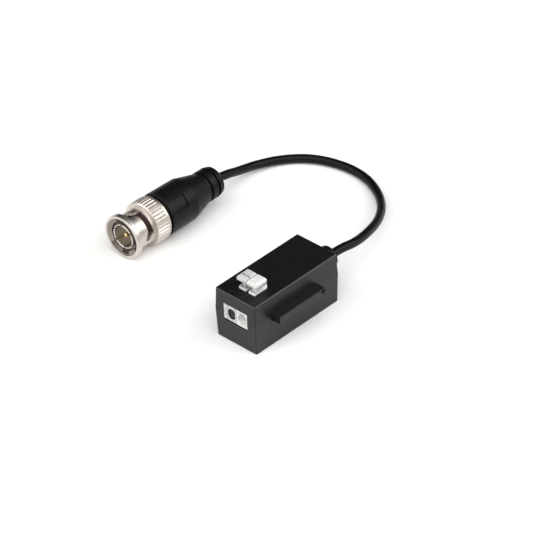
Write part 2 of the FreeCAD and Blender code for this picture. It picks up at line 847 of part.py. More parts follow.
def make_lever(pole):
    """A push lever: slotted head, waisted neck, stem and captive foot."""
    body = new_body(f"lever_{pole}")
    lever = f"({POLE_MIDDLE[pole]} + {pole}_shift)"
    centre = f"({lever} + {pole}_lean)"
    head = new_sketch(body, "head_plan", "XY_Plane", HEAD_LOW)
    add_rectangle(
        head,
        f"{centre} - head_width / 2",
        f"{centre} + head_width / 2",
        f"{FRONT} + head_start",
        f"{FRONT} + head_start + head_length",
    )
    pad(body, "head", head, "head_thick")
    front = -size("case_length") / 2 + size("head_start")
    top = size("case_height") + size("head_level") + size("head_thick")
    round_edges(body, "head_corners", "head_round", lambda edge: runs_along(edge, "z"))
    round_edges(
        body,
        "head_nose_round",
        "head_nose",
        lambda edge: near(edge.BoundBox.ZMin, top) and edge.CenterOfMass.y < front + 0.2,
    )
    driver = new_sketch(body, "driver_outline", "XY_Plane", f"{HEAD_LOW} + head_thick")
    add_rectangle(
        driver,
        f"{centre} - head_width / 2 + driver_end",
        f"{centre} + head_width",
        f"{FRONT} + driver_start - driver_slot / 2",
        f"{FRONT} + driver_start + driver_slot / 2",
    )
    pocket(body, "driver_groove", driver, "driver_depth")
    stem_middle = f"({FRONT} + stem_start + stem_length / 2)"
    levels = [
        (HEAD_LOW, "neck_width", "neck_length"),
        (f"{HEAD_LOW} - neck_drop", "neck_waist", "(neck_length + stem_length) / 2"),
        (NECK_LOW, "stem_width", "stem_length"),
    ]
    sections = []
    for k, (level, width, length) in enumerate(levels):
        section = new_sketch(body, f"neck_section_{k}", "XY_Plane", level)
        add_rectangle(
            section,
            f"{lever} - {width} / 2",
            f"{lever} + {width} / 2",
            f"{stem_middle} - {length} / 2",
            f"{stem_middle} + {length} / 2",
        )
        sections.append(section)
    neck = body.newObject("PartDesign::AdditiveLoft", "neck")
    neck.Profile = sections[0]
    neck.Sections = sections[1:]
    doc.recompute()
    stem = new_sketch(body, "stem_section", "XY_Plane", FOOT_TOP)
    add_rectangle(
        stem,
        f"{lever} - stem_width / 2",
        f"{lever} + stem_width / 2",
        f"{FRONT} + stem_start",
        f"{FRONT} + stem_start + stem_length",
    )
    pad(body, "stem", stem, f"{NECK_LOW} - {FOOT_TOP}")
    foot = new_sketch(body, "foot_plan", "XY_Plane", FOOT_LOW)
    add_rectangle(
        foot,
        f"{lever} - foot_width / 2",
        f"{lever} + foot_width / 2",
        f"{FRONT} + stem_start",
        f"{FRONT} + stem_start + stem_length",
    )
    pad(body, "foot", foot, f"{FOOT_TOP} - {FOOT_LOW}")
    return body


def make_contact(pole):
    """A contact bar under the wire, with its leg and solder pin."""
    body = new_body(f"contact_{pole}")
    middle = POLE_MIDDLE[pole]
    leg_front = f"({CONTACT_BACK} - contact_thick)"
    side = new_sketch(body, "bar_outline", "YZ_Plane", f"{middle} - contact_width / 2")
    add_polygon(
        side,
        [
            (f"{CHAMBER_FRONT} + seat_gap", CONTACT_TOP),
            (f"{CHAMBER_FRONT} + seat_gap", f"{CONTACT_TOP} - contact_thick"),
            (leg_front, f"{CONTACT_TOP} - contact_thick"),
            (leg_front, BOARD_TOP),
            (CONTACT_BACK, BOARD_TOP),
            (CONTACT_BACK, CONTACT_TOP),
        ],
    )
    pad(body, "bar", side, "contact_width")
    pin = new_sketch(body, "pin_section", "XY_Plane", BOARD_TOP)
    add_rectangle(
        pin, f"{middle} - pin_width / 2", f"{middle} + pin_width / 2", leg_front, CONTACT_BACK
    )
    pad(body, "pin", pin, "board_thick + pin_below", None, True)
    return body


def unit(start, end):
    """The direction from one point to another."""
    return (end - start).normalize()


def rounded_path(points, bends):
    """Straight runs joined by tangent arcs; bends holds one radius per inner point."""
    edges = []
    last = points[0]
    for before, here, after, radius in zip(points, points[1:], points[2:], bends):
        inward = unit(before, here)
        outward = unit(here, after)
        turn = inward.getAngle(outward)
        trim = radius * math.tan(turn / 2)
        enter = here - inward * trim
        leave = here + outward * trim
        middle = unit(Vector(0, 0, 0), outward - inward)
        crest = here + middle * (radius / math.cos(turn / 2) - radius)
        edges.append(Part.LineSegment(last, enter).toShape())
        edges.append(Part.Arc(enter, crest, leave).toShape())
        last = leave
    edges.append(Part.LineSegment(last, points[-1]).toShape())
    return Part.Wire(edges)


def round_rod(points, bends, diameter):
    """A round rod along a rounded path."""
    path = rounded_path(points, bends)
    face = Part.Wire(Part.makeCircle(diameter / 2, points[0], points[1] - points[0]))
    return path.makePipeShell([face], True, False)


def bent_wire(start, corner, end, trim, diameter):
    """A stiff wire from start to end, its corner bent in two half turns."""
    enter = corner + unit(corner, start) * trim
    leave = corner + unit(corner, end) * trim
    path = Part.makePolygon([start, enter, leave, end])
    face = Part.Wire(Part.makeCircle(diameter / 2, start, corner - start))
    mitred = 1
    return path.makePipeShell([face], True, False, mitred)


def new_feature(name, shape):
    """A part whose shape comes from a formula."""
    feature = doc.addObject("Part::Feature", name)
    feature.Label = name
    feature.Shape = shape
    return feature


def terminal_places():
    """Numbers of the terminal that the clamp springs need: poles, floor and back."""
    face = -size("case_length") / 2 + size("face_recess")
    split = (size("end_wall") + size("grey_width") - size("white_width")) / 2
    top = size("board_level") + size("board_thick") + size("wire_level")
    top -= size("wire_bore") / 2
    chamber = face + size("mouth_depth") + size("wire_depth")
    middles = {
        "grey": split - size("grey_width") / 2,
        "white": split + size("white_width") / 2,
    }
    return middles, top, chamber


def make_clamp_spring(pole):
    """A bent leaf spring on the contact bar, its arched back under the lever's foot."""
    middles, floor, chamber = terminal_places()
    thick = size("spring_thick")
    left = middles[pole] - size("spring_width") / 2
    back = chamber + size("chamber_length") - 2 * size("seat_gap") - thick / 2
    top = floor + size("spring_height") - thick / 2
    front = chamber + size("chamber_length") / 6
    low = floor + size("seat_gap")
    points = [
        Vector(left, back, low),
        Vector(left, back, top),
        Vector(left, front, top),
        Vector(left, front + size("spring_height") / 3, low + thick),
    ]
    bend = size("spring_bend")
    path = rounded_path(points, [bend, bend])
    rise = Vector(0, thick / 2, 0)
    wide = Vector(size("spring_width"), 0, 0)
    start = points[0]
    section = Part.makePolygon(
        [start - rise, start + rise, start + rise + wide, start - rise + wide, start - rise]
    )
    return new_feature(f"clamp_spring_{pole}", path.makePipeShell([section], True, False))


def make_balun_core():
    """The ferrite ring of the matching transformer."""
    body = new_body("balun_core", ("0", CORE_MIDDLE, BOARD_TOP))
    section = new_sketch(body, "ring_section", "XZ_Plane")
    low = "turn_wire + 2 * turn_gap"
    high = f"{low} + core_height"
    add_polygon(
        section,
        [
            ("core_inner / 2 + core_round", low),
            ("core_outer / 2 - core_round", low),
            ("core_outer / 2", f"{low} + core_round"),
            ("core_outer / 2", f"{high} - core_round"),
            ("core_outer / 2 - core_round", high),
            ("core_inner / 2 + core_round", high),
            ("core_inner / 2", f"{high} - core_round"),
            ("core_inner / 2", f"{low} + core_round"),
        ],
    )
    revolve(body, "ring", section)
    return body


def make_balun_winding():
    """The wire turns round the ferrite ring, each a close band."""
    body = new_body("balun_winding", ("0", CORE_MIDDLE, BOARD_TOP))
    section = new_sketch(body, "turn_section", "XZ_Plane", "-turn_wire / 2")
    low = "turn_wire + turn_gap"
    high = f"{low} + core_height + 2 * turn_gap"
    add_rectangle(
        section,
        "core_inner / 2 - turn_gap - turn_wire",
        "core_outer / 2 + turn_gap + turn_wire",
        "turn_gap",
        f"{high} + turn_wire",
    )
    add_rectangle(
        section, "core_inner / 2 - turn_gap", "core_outer / 2 + turn_gap", low, high
    )
    turn = pad(body, "turn", section, "turn_wire")
    repeat_round(body, "turns", [turn], "Z_Axis", "turn_count")
    return body


def make_axial_part(name, part):
    """A round component lying across the board, its two leads bent down through it."""
    radius = size(f"{part}_body") / 2
    half = size(f"{part}_length") / 2
    place = size("case_length") / 2 - size(f"{part}_back")
    board_top = size("board_level") + size("board_thick")
    height = board_top + radius + size("seat_gap")
    low = size("board_level") - size("lead_wire")
    bevel = size("part_bevel")
    outline = [
        (-half, 0),
        (-half, radius - bevel),
        (bevel - half, radius),
        (half - bevel, radius),
        (half, radius - bevel),
        (half, 0),
        (-half, 0),
    ]
    corners = [Vector(along, place, height + up) for along, up in outline]
    section = Part.Face(Part.makePolygon(corners))
    solid = section.revolve(Vector(0, place, height), Vector(1, 0, 0), 360)
    for sign in (-1, 1):
        far = sign * (half + size("lead_reach"))
        start = Vector(sign * half / 2, place, height)
        corner = Vector(far, place, height)
        end = Vector(far, place, low)
        lead = bent_wire(start, corner, end, size("lead_bend"), size("lead_wire"))
        solid = solid.fuse(lead)
    return new_feature(name, solid.removeSplitter())


def make_cable_gland():
    """The moulded strain relief, clamped by its waist in the rear wall."""
    body = new_body("cable_gland", ("0", "0", "parting_height"))
    section = new_sketch(body, "gland_section", "XY_Plane")
    lean = "draft_inset * gland_lip / 2 / (case_height - parting_height)"
    waist_front = f"({INNER_LENGTH} - seat_gap - {lean})"
    add_polygon(
        section,
        [
            ("0", f"{waist_front} - gland_lip_thick"),
            ("gland_lip / 2", f"{waist_front} - gland_lip_thick"),
            ("gland_lip / 2", waist_front),
            ("gland_waist / 2", waist_front),
            ("gland_waist / 2", f"{REAR} + seat_gap"),
            ("gland_width / 2", f"{REAR} + seat_gap"),
            *eased("gland_width / 2", f"{REAR} + gland_length", "gland_round", False),
            ("0", f"{REAR} + gland_length"),
        ],
    )
    revolve(body, "gland_turning", section)
    return body


def make_lead(name, sign):
    """One of the cord's two conductors, from the strain relief down to the board."""
    spread = sign * size("core_spread") / 2
    rear = size("case_length") / 2 - size("case_wall") - size("seat_gap")
    rear -= size("gland_lip_thick")
    upper = size("case_height") - size("parting_height")
    rear -= size("draft_inset") * size("gland_lip") / 2 / upper
    board_top = size("board_level") + size("board_thick")
    seam = size("parting_height")
    start = Vector(spread, rear, seam)
    corner = Vector(spread, rear - size("core_run"), seam)
    end = Vector(spread, rear - size("core_run"), board_top)
    wire = size("core_wire")
    return new_feature(name, bent_wire(start, corner, end, wire, wire))


def make_cord():
    """The pigtail cord between the strain relief and the plug's boot."""
    points = [Vector(*place) for place in CORD_ROUTE]
    points[0].y = size("case_length") / 2 + size("gland_length")
    points[0].z = size("parting_height")
    points[-1] = Vector(size("plug_across"), size("plug_tail"), size("plug_height"))
    radii = []
    for before, here, after in zip(points, points[1:], points[2:]):
        shorter = min(before.distanceToPoint(here), here.distanceToPoint(after))
        turn = unit(before, here).getAngle(unit(here, after))
        radii.append(size("cord_share") * shorter / math.tan(turn / 2))
    solid = round_rod(points, radii, size("cord_width"))
    print("cord radii", [round(radius, 1) for radius in radii])
    length = rounded_path(points, radii).Length
    section = math.pi * size("cord_width") ** 2 / 4
    print(f"cord length {length:.1f}, volume share {solid.Volume / section / length:.4f}")
    return new_feature("pigtail_cord", solid)


def make_plug_boot():
    """The moulded boot: barrel, cone, ribbed neck, and one sunk pad on its side."""
    neck = f"({BOOT_MOUTH} + boot_straight + boot_cone + boot_collar)"
    second = f"({neck} + boot_groove + boot_rib)"
    deep = "boot_neck - boot_groove_deep"
    ferrule = "stem_radius + 2 * ferrule_gap + ferrule_wall"
    bottom = f"({BODY_BACK} + stem_reach + 2 * ferrule_wall)"
    body = turned(
        "plug_boot",
        [
            ("body_barrel + boot_gap", BOOT_MOUTH),
            *eased("boot_front", BOOT_MOUTH, "boot_lip", True, 1),
            ("boot_waist", f"{BOOT_MOUTH} + boot_straight"),
            ("boot_neck", f"{BOOT_MOUTH} + boot_straight + boot_cone"),
            ("boot_neck", neck),
            (deep, neck),
            (deep, f"{neck} + boot_groove"),
            ("boot_neck", f"{neck} + boot_groove"),
            ("boot_neck", second),
            (deep, second),
            (deep, f"{second} + boot_groove"),
            ("boot_neck", f"{second} + boot_groove"),
            *eased("boot_end", "plug_tail", "boot_round", False, 3),
            ("0", "plug_tail"),
            ("0", bottom),
            (ferrule, bottom),
            (ferrule, f"{BODY_BACK} + boot_gap"),
            ("body_barrel + boot_gap", f"{BODY_BACK} + boot_gap"),
        ],
    )
    sunk = new_sketch(body, "pad_section", "XY_Plane")
    sunk.AttachmentOffset = FreeCAD.Placement(
        Vector(0, 0, 0), FreeCAD.Rotation(Vector(0, 1, 0), -size("pad_angle"))
    )
    add_rectangle(
        sunk,
        "boot_waist - pad_deep",
        "boot_front + pad_deep",
        f"{BOOT_MOUTH} + pad_start",
        f"{BOOT_MOUTH} + pad_start + pad_length",
    )
    before = body.Shape.Volume
    groove = body.newObject("PartDesign::Groove", "sunk_pad")
    groove.Profile = sunk
    groove.ReferenceAxis = (sunk, ["V_Axis"])
    groove.setExpression("Angle", bound("pad_arc"))
    groove.Midplane = True
    doc.recompute()
    if groove.Shape.Volume > before - 1e-4:
        raise ValueError("the boot's pad cuts nothing")
    return body


def make_plug_body():
    """The plug's turned body, with the flange that stops the coupling ring."""
    return turned(
        "plug_body",
        [
            ("contact_radius + seat_gap", BODY_FRONT),
            ("body_nose", BODY_FRONT),
            ("body_nose", BODY_STOP),
            ("body_flange", BODY_STOP),
            ("body_flange", BODY_STOP_BACK),
            ("body_barrel", BODY_STOP_BACK),
            ("body_barrel", BODY_BACK),
            ("stem_radius", BODY_BACK),
            ("stem_radius", f"{BODY_BACK} + stem_reach"),
            ("cable_bore", f"{BODY_BACK} + stem_reach"),
            ("cable_bore", f"{BODY_FRONT} + insulator_depth"),
            ("insulator_bore", f"{BODY_FRONT} + insulator_depth"),
            ("insulator_bore", f"{BODY_FRONT} + contact_depth"),
            ("contact_radius + seat_gap", f"{BODY_FRONT} + contact_depth"),
        ],
    )


def make_outer_contact():
    """The slotted outer contact, a thin sprung tube in the mouth of the plug."""
    front = f"({RING_FRONT} + contact_front)"
    body = turned(
        "outer_contact",
        [
            ("contact_radius - contact_wall", f"{front} + contact_edge"),
            ("contact_radius - contact_wall + contact_edge", front),
            ("contact_radius - contact_edge", front),
            ("contact_radius", f"{front} + contact_edge"),
            ("contact_radius", f"{BODY_FRONT} + contact_depth - seat_gap"),
            ("contact_radius - contact_wall", f"{BODY_FRONT} + contact_depth - seat_gap"),
        ],
    )
    cut = new_sketch(body, "slot_outline", "XZ_Plane", f"-({front} - contact_wall)")
    cut.AttachmentOffset = FreeCAD.Placement(
        Vector(0, 0, 0), FreeCAD.Rotation(Vector(0, 0, 1), size("contact_slot_angle"))
    )
    add_rectangle(
        cut,
        "contact_radius - 2 * contact_wall",
        "contact_radius + contact_wall",
        "-contact_slot_width / 2",
        "contact_slot_width / 2",
    )
    slot = pocket(body, "slot", cut, "contact_slot_length + contact_wall")
    repeat_round(body, "slots", [slot], "Y_Axis", "contact_slots")
    return body


def make_insulator():
    """The insulator that centres the pin in the outer contact."""
    front = f"({RING_FRONT} + insulator_front)"
    back = f"({BODY_FRONT} + insulator_depth - 5 * seat_gap)"
    return turned(
        "insulator",
        [
            ("pin_radius + seat_gap", front),
            ("contact_radius - contact_wall - seat_gap", front),
            ("contact_radius - contact_wall - seat_gap", back),
            ("pin_radius + seat_gap", back),
        ],
    )


def make_centre_pin():
    """The centre pin with its rounded nose and crimp barrel."""
    front = f"({RING_FRONT} + pin_front)"
    back = f"({BODY_FRONT} + insulator_depth - 4 * seat_gap)"
    return turned(
        "centre_pin",
        [
            ("0", front),
            *eased("pin_radius", front, "pin_nose", True, 3),
            ("pin_radius", back),
            ("pin_barrel", back),
            ("pin_barrel", f"{back} + pin_barrel_length"),
            ("0", f"{back} + pin_barrel_length"),
        ],
    )


def make_seal():
    """The soft seal ring in front of the plug's body."""
    back = f"({BODY_FRONT} - seat_gap)"
    return turned(
        "seal",
        [
            ("contact_radius + seat_gap", f"{back} - seal_thick"),
            ("body_nose", f"{back} - seal_thick"),
            ("body_nose", back),
            ("contact_radius + seat_gap", back),
        ],
    )


def make_crimp_ferrule():
    """The ferrule crimped over the stem of the plug's body."""
    start = f"({BODY_BACK} + boot_gap)"
    end = f"({BODY_BACK} + stem_reach)"
    return turned(
        "crimp_ferrule",
        [
            ("stem_radius + ferrule_gap", start),
            ("stem_radius + ferrule_gap + ferrule_wall", start),
            ("stem_radius + ferrule_gap + ferrule_wall", end),
            ("stem_radius + ferrule_gap", end),
        ],
    )


def make_thrust_washer():
    """The flat washer between the wave spring and the retaining ring."""
    front = f"({WAVE_BACK} + seat_gap)"
    return turned(
        "thrust_washer",
        [
            ("body_barrel + 2 * running_gap", front),
            ("body_flange", front),
            ("body_flange", WASHER_BACK),
            ("body_barrel + 2 * running_gap", WASHER_BACK),
        ],
    )


def make_retaining_ring():
    """The snap ring in the groove of the coupling ring."""
    front = f"({WASHER_BACK} + seat_gap)"
    return turned(
        "retaining_ring",
        [
            ("body_barrel + 3 * running_gap", front),
            ("groove_radius - seat_gap", front),
            ("groove_radius - seat_gap", f"{front} + keeper_thick"),
            ("body_barrel + 3 * running_gap", f"{front} + keeper_thick"),
        ],
    )


def plug_stations():
    """Numbers along the plug's axis: the ring's front, its sleeve's end and the stop."""
    ring_front = size("plug_tail") - size("boot_length") - size("ring_gap")
    ring_front -= size("ring_length")
    sleeve_end = ring_front + size("flange_length") + size("sleeve_length")
    stop_back = sleeve_end + size("cavity_start") + size("ring_stop")
    stop_back += size("body_flange_thick")
    return ring_front, sleeve_end, stop_back


def make_wave_spring():
    """A closed ring of flat spring strip that waves along the plug's axis."""
    steps = 24
    inner = size("wave_inner")
    outer = size("body_flange")
    thick = size("wave_thick")
    swing = (size("wave_height") - thick) / 2
    start = plug_stations()[2] + size("seat_gap")
    sections = []
    for k in range(steps):
        angle = 2 * math.pi * k / steps
        low = start + swing * (1 - math.cos(size("wave_count") * angle))
        out = Vector(math.cos(angle), 0, math.sin(angle))
        ahead = Vector(0, 1, 0)
        corners = [
            out * inner + ahead * low,
            out * outer + ahead * low,
            out * outer + ahead * (low + thick),
            out * inner + ahead * (low + thick),
        ]
        sections.append(Part.makePolygon(corners + corners[:1]))
    feature = new_feature("wave_spring", Part.makeLoft(sections, True, True, True))
    feature.Placement.Base = Vector(size("plug_across"), 0, size("plug_height"))
    return feature


def smooth(share):
    """Rises smoothly from 0 to 1 as share does."""
    share = min(max(share, 0.0), 1.0)
    return share * share * (3 - 2 * share)


def slot_station(turn, ring_front):
    """Where the middle of the bayonet slot lies along the axis, by turn from its entry."""
    depth = size("slot_entry")
    depth += (size("slot_rear") - depth) * smooth(turn / size("slot_ramp"))
    depth += size("slot_pull") * turn / size("slot_turn")
    into = turn - size("slot_turn") + size("slot_detent")
    depth -= size("slot_rise") * smooth(into / size("slot_detent"))
    return ring_front + depth


def slot_section(turn, ring_front):
    """The slot's outline in the plane through the axis at this turn."""
    slope = slot_station(turn + 0.5, ring_front) - slot_station(turn - 0.5, ring_front)
    slope /= math.radians(1.0) * size("sleeve_radius")
    half = size("slot_width") / 2 * math.hypot(1, slope)
    middle = slot_station(turn, ring_front)
    angle = math.radians(size("slot_angle") - turn)
    out = Vector(math.cos(angle), 0, math.sin(angle))
    inner = out * (size("mouth_bore") - size("slot_width") / 4)
    outer = out * (size("sleeve_radius") + size("slot_width") / 4)
    ahead, behind = Vector(0, middle - half, 0), Vector(0, middle + half, 0)
    return Part.makePolygon(
        [inner + ahead, outer + ahead, outer + behind, inner + behind, inner + ahead]
    )


def joined(first, second):
    """Two overlapping solids as one, making sure that neither is lost."""
    both = first.fuse(second)
    if len(both.Solids) != 1 or both.Volume < max(first.Volume, second.Volume):
        raise ValueError("the bayonet slots' tool came apart")
    return both


def bayonet_tool():
    """What the bayonet slots and their lead-in grooves take out of the ring."""
    ring_front = plug_stations()[0]
    half = size("slot_width") / 2
    inner = size("mouth_bore") - half / 2
    outer = size("sleeve_radius") + half / 2
    total = size("slot_turn")
    steps = 10
    sections = [slot_section(total * k / steps, ring_front) for k in range(steps + 1)]
    tool = Part.makeLoft(sections, True, True)
    for turn in (0.0, total):
        angle = math.radians(size("slot_angle") - turn)
        out = Vector(math.cos(angle), 0, math.sin(angle))
        middle = Vector(0, slot_station(turn, ring_front), 0)
        tool = joined(tool, Part.makeCylinder(half, outer - inner, middle + out * inner, out))
    wide = size("lead_in_width")
    groove = Part.makeBox(
        size("lead_in_radius") - inner,
        size("slot_entry") + half,
        wide,
        Vector(inner, ring_front - half, -wide / 2),
    )
    groove.rotate(Vector(0, 0, 0), Vector(0, 1, 0), -size("slot_angle"))
    tool = joined(tool, groove)
    opposite = tool.copy()
    opposite.rotate(Vector(0, 0, 0), Vector(0, 1, 0), 180)
    feature = new_feature("bayonet_slots", Part.Compound([tool, opposite]))
    feature.Placement.Base = Vector(size("plug_across"), 0, size("plug_height"))
    return feature


def make_coupling_ring():
    """The coupling ring: flanged mouth, slotted sleeve, knurled grip and rear cavity."""
    body = turned(
        "ring_blank",
        [
            ("mouth_bore", f"{RING_FRONT} + mouth_cone_deep"),
            ("mouth_bore + mouth_cone", RING_FRONT),
            *eased("flange_radius", RING_FRONT, "flange_round", True),
            *eased("flange_radius", FLANGE_BACK, "flange_round", False),
            ("sleeve_radius", FLANGE_BACK),
            ("sleeve_radius", SLEEVE_END),
            ("shoulder_radius", f"{SLEEVE_END} + shoulder_rise"),
            ("grip_radius", f"{SLEEVE_END} + grip_start"),
            ("grip_radius", f"{SLEEVE_END} + grip_start + grip_length"),
            ("rim_radius", f"{SLEEVE_END} + grip_start + grip_length"),
            *eased("rim_radius", RING_REAR, "rim_round", False),
            ("cavity_radius", RING_REAR),
            ("cavity_radius", f"{GROOVE_FRONT} + groove_length"),
            ("groove_radius", f"{GROOVE_FRONT} + groove_length"),
            ("groove_radius", GROOVE_FRONT),
            ("cavity_radius", GROOVE_FRONT),
            ("cavity_radius", CAVITY_FRONT),
            ("mouth_bore", CAVITY_FRONT),
        ],
    )
    grip = new_sketch(
        body, "flute_outline", "XZ_Plane", f"-({SLEEVE_END} + grip_start - flute_deep)"
    )
    add_polygon(
        grip,
        [
            ("grip_radius - flute_deep", "0"),
            ("grip_radius + flute_deep", "-flute_width"),
            ("grip_radius + flute_deep", "flute_width"),
        ],
    )
    flute = pocket(body, "flute", grip, "grip_length + flute_deep")
    repeat_round(body, "flutes", [flute], "Y_Axis", "grip_flutes")
    ring = doc.addObject("Part::Cut", "coupling_ring")
    ring.Label = "coupling_ring"
    ring.Base = body
    ring.Tool = bayonet_tool()
    return ring


nodes = [make_housing_base(), make_housing_top(), make_circuit_board()]
for pole in ("grey", "white"):
    nodes.append(make_terminal_body(pole))
    nodes.append(make_lever(pole))
    nodes.append(make_contact(pole))
    nodes.append(make_clamp_spring(pole))
nodes += [
    make_balun_core(),
    make_balun_winding(),
    make_axial_part("surge_suppressor", "suppressor"),
    make_axial_part("matching_resistor", "resistor"),
    make_cable_gland(),
    make_lead("core_lead", 1),
    make_lead("shield_lead", -1),
    make_cord(),
    make_plug_boot(),
    make_crimp_ferrule(),
    make_plug_body(),
    make_outer_contact(),
    make_insulator(),
    make_centre_pin(),
    make_seal(),
    make_wave_spring(),
    make_thrust_washer(),
    make_retaining_ring(),
    make_coupling_ring(),
]
doc.recompute()

for item in doc.Objects:
    if any(word in state for state in item.State for word in ("Invalid", "Error")):
        raise ValueError(f"{item.Label}: {item.State}")
os.makedirs("parts", exist_ok=True)
for node in nodes:
    if node.Shape.isNull() or not node.Shape.isValid() or not node.Shape.Solids:
        raise ValueError(f"{node.Label}: no valid solid")
    node.Shape.exportStep(f"parts/{node.Label}.step")
    print(f"{node.Label}: {len(node.Shape.Solids)} solid, {node.Shape.Volume:.2f} mm3")
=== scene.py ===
import math

import bmesh
import bpy
import numpy as np
from mathutils import Matrix, Vector


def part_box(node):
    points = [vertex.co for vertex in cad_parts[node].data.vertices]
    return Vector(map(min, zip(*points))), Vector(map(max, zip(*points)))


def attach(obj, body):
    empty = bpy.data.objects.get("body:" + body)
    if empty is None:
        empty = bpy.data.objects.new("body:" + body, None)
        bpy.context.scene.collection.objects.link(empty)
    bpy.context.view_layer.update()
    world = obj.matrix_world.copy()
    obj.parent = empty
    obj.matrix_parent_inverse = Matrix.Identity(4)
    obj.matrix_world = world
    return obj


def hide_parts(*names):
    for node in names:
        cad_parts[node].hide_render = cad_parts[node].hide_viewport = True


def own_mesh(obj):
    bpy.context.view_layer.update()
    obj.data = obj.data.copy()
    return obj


# A pigtail video balun on a pale studio floor: a black two-shell housing with a
# push-lever wire terminal, a short black cord, and a nickel-plated bayonet plug.
# Metres; MM turns a size in millimetres into them.

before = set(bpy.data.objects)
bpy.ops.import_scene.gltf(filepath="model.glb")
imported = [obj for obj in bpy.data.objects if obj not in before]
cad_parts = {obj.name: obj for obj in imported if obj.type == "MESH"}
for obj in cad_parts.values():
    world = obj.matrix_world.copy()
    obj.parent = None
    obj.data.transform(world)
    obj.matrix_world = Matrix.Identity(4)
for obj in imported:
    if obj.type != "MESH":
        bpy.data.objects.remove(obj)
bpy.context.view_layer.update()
MM = 0.001


def box_mm(node):
    """Lowest and highest corner of a node, in millimetres."""
    low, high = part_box(node)
    return np.array(low) / MM, np.array(high) / MM


# Places that the finishes follow, in millimetres. A pair is where a change starts and ends,
# measured from the lid, the mouths' face, the levers' top or the ring's face, or from 0.

LID_TOP = float(box_mm("housing_top")[1][2])
# Painted highlight on the lid's rounded top edges: where it starts and where it is full
PAINTED_HIGHLIGHT_RIM = (-0.35, -0.28)
MOUTH_FACE = float(box_mm("terminal_body_grey")[0][1])
# Painted light and shade inside the wire mouths: where it starts behind the face, how it
# changes with depth, its left edge and its top under the lid
MOUTH_START = (0.03, 0.1)
MOUTH_SHADE = (0.2, 1.2)
MOUTH_LEFT = (-3.1, -3.0)
UNDER_LID = (0.0, -0.3)
LEVER_TOP = float(box_mm("lever_grey")[1][2])
# The screwdriver groove's painted light and shade: its front and back, top and floor, and
# where its end's darker painted shade begins
GROOVE_FRONT = (-11.53, -11.5)
GROOVE_BACK = (-11.07, -11.1)
GROOVE_TOP = (-0.04, -0.15)
GROOVE_FLOOR = (-0.6, -0.5)
GROOVE_PAINTED_END = (-1.5, -1.9)
RING_FACE = float(box_mm("coupling_ring")[0][1])
RING_AXIS = (-55.4, 7.3)
GRIP_FRONT = (0.3, 0.5)
GRIP_BACK = (4.8, 4.6)
# The ring's cone, coloured darker as a painted reflection: its inner and outer radius and its
# depth behind the face
CONE_INSIDE = (4.4, 4.6)
CONE_OUTSIDE = (6.25, 6.1)
CONE_BACK = (1.0, 0.85)


# Camera: the photograph's own long lens, fitted to the housing's edges
CAMERA_AZIMUTH = math.radians(44.77)
CAMERA_ELEVATION = math.radians(36.03)
CAMERA_ROLL = math.radians(-2.49)
CAMERA_DISTANCE = 1035.61 * MM
CAMERA_TARGET = Vector((-19.80, 16.06, 0.0)) * MM
CAMERA_LENS = 236.4
SENSOR_WIDTH = 36.0


def camera_axes():
    """The camera's right, up and backward directions in the frame."""
    sine, cosine = math.sin(CAMERA_AZIMUTH), math.cos(CAMERA_AZIMUTH)
    level = math.cos(CAMERA_ELEVATION)
    back = Vector((sine * level, -cosine * level, math.sin(CAMERA_ELEVATION)))
    right = Vector((cosine, sine, 0.0))
    up = back.cross(right)
    turn_cos, turn_sin = math.cos(CAMERA_ROLL), math.sin(CAMERA_ROLL)
    return (
        right * turn_cos + up * turn_sin,
        up * turn_cos - right * turn_sin,
        back,
    )


def make_camera():
    """A long lens looking down at the part from its front right."""
    right, up, back = camera_axes()
    data = bpy.data.cameras.new("photo_camera")
    data.lens = CAMERA_LENS
    data.sensor_width = SENSOR_WIDTH
    data.clip_start = 0.01
    data.clip_end = 10.0
    camera = bpy.data.objects.new("photo_camera", data)
    bpy.context.scene.collection.objects.link(camera)
    axes = Matrix((right, up, back)).transposed().to_4x4()
    place = CAMERA_TARGET + back * CAMERA_DISTANCE
    camera.matrix_world = Matrix.Translation(place) @ axes
    bpy.context.scene.camera = camera


# Colours and nodes

# A Mix node's two colours and its result, by the places of their sockets
MIX_FIRST, MIX_SECOND, MIX_COLOUR = 6, 7, 2
# Noise seldom leaves this range, so it is stretched from here to the range wanted
NOISE_LOW, NOISE_HIGH = 0.3, 0.7


def srgb(code, alpha=1.0):
    """An sRGB hex colour as linear red, green, blue and alpha."""
    channels = [int(code[k : k + 2], 16) / 255 for k in (1, 3, 5)]
    linear = [c / 12.92 if c <= 0.04045 else ((c + 0.055) / 1.055) ** 2.4 for c in channels]
    return (*linear, alpha)


def add(tree, kind, sockets=None, **settings):
    """Adds a node with its settings; each socket gets a value or another node's output."""
    made = tree.nodes.new(kind)
    for name, value in settings.items():
        setattr(made, name, value)
    for name, value in (sockets or {}).items():
        if isinstance(value, bpy.types.NodeSocket):
            tree.links.new(value, made.inputs[name])
        else:
            made.inputs[name].default_value = value
    return made


def new_tree(name):
    """An empty material and its node tree."""
    material = bpy.data.materials.new(name)
    material.use_nodes = True
    material.node_tree.nodes.clear()
    return material, material.node_tree


def finish_surface(tree, sockets):
    """A Principled surface with these sockets, wired to the material's output."""
    surface = add(tree, "ShaderNodeBsdfPrincipled", sockets)
    add(tree, "ShaderNodeOutputMaterial", {"Surface": surface.outputs["BSDF"]})


def lumps(tree, size_mm, low, high, detail=2.0):
    """A value that wanders between low and high in lumps size_mm across."""
    noise = add(
        tree,
        "ShaderNodeTexNoise",
        {
            "Vector": add(tree, "ShaderNodeTexCoord").outputs["Object"],
            "Scale": 1.0 / (size_mm * MM),
            "Detail": detail,
        },
    )
    return add(
        tree,
        "ShaderNodeMapRange",
        {
            "Value": noise.outputs["Fac"],
            "From Min": NOISE_LOW,
            "From Max": NOISE_HIGH,
            "To Min": low,
            "To Max": high,
        },
    ).outputs["Result"]


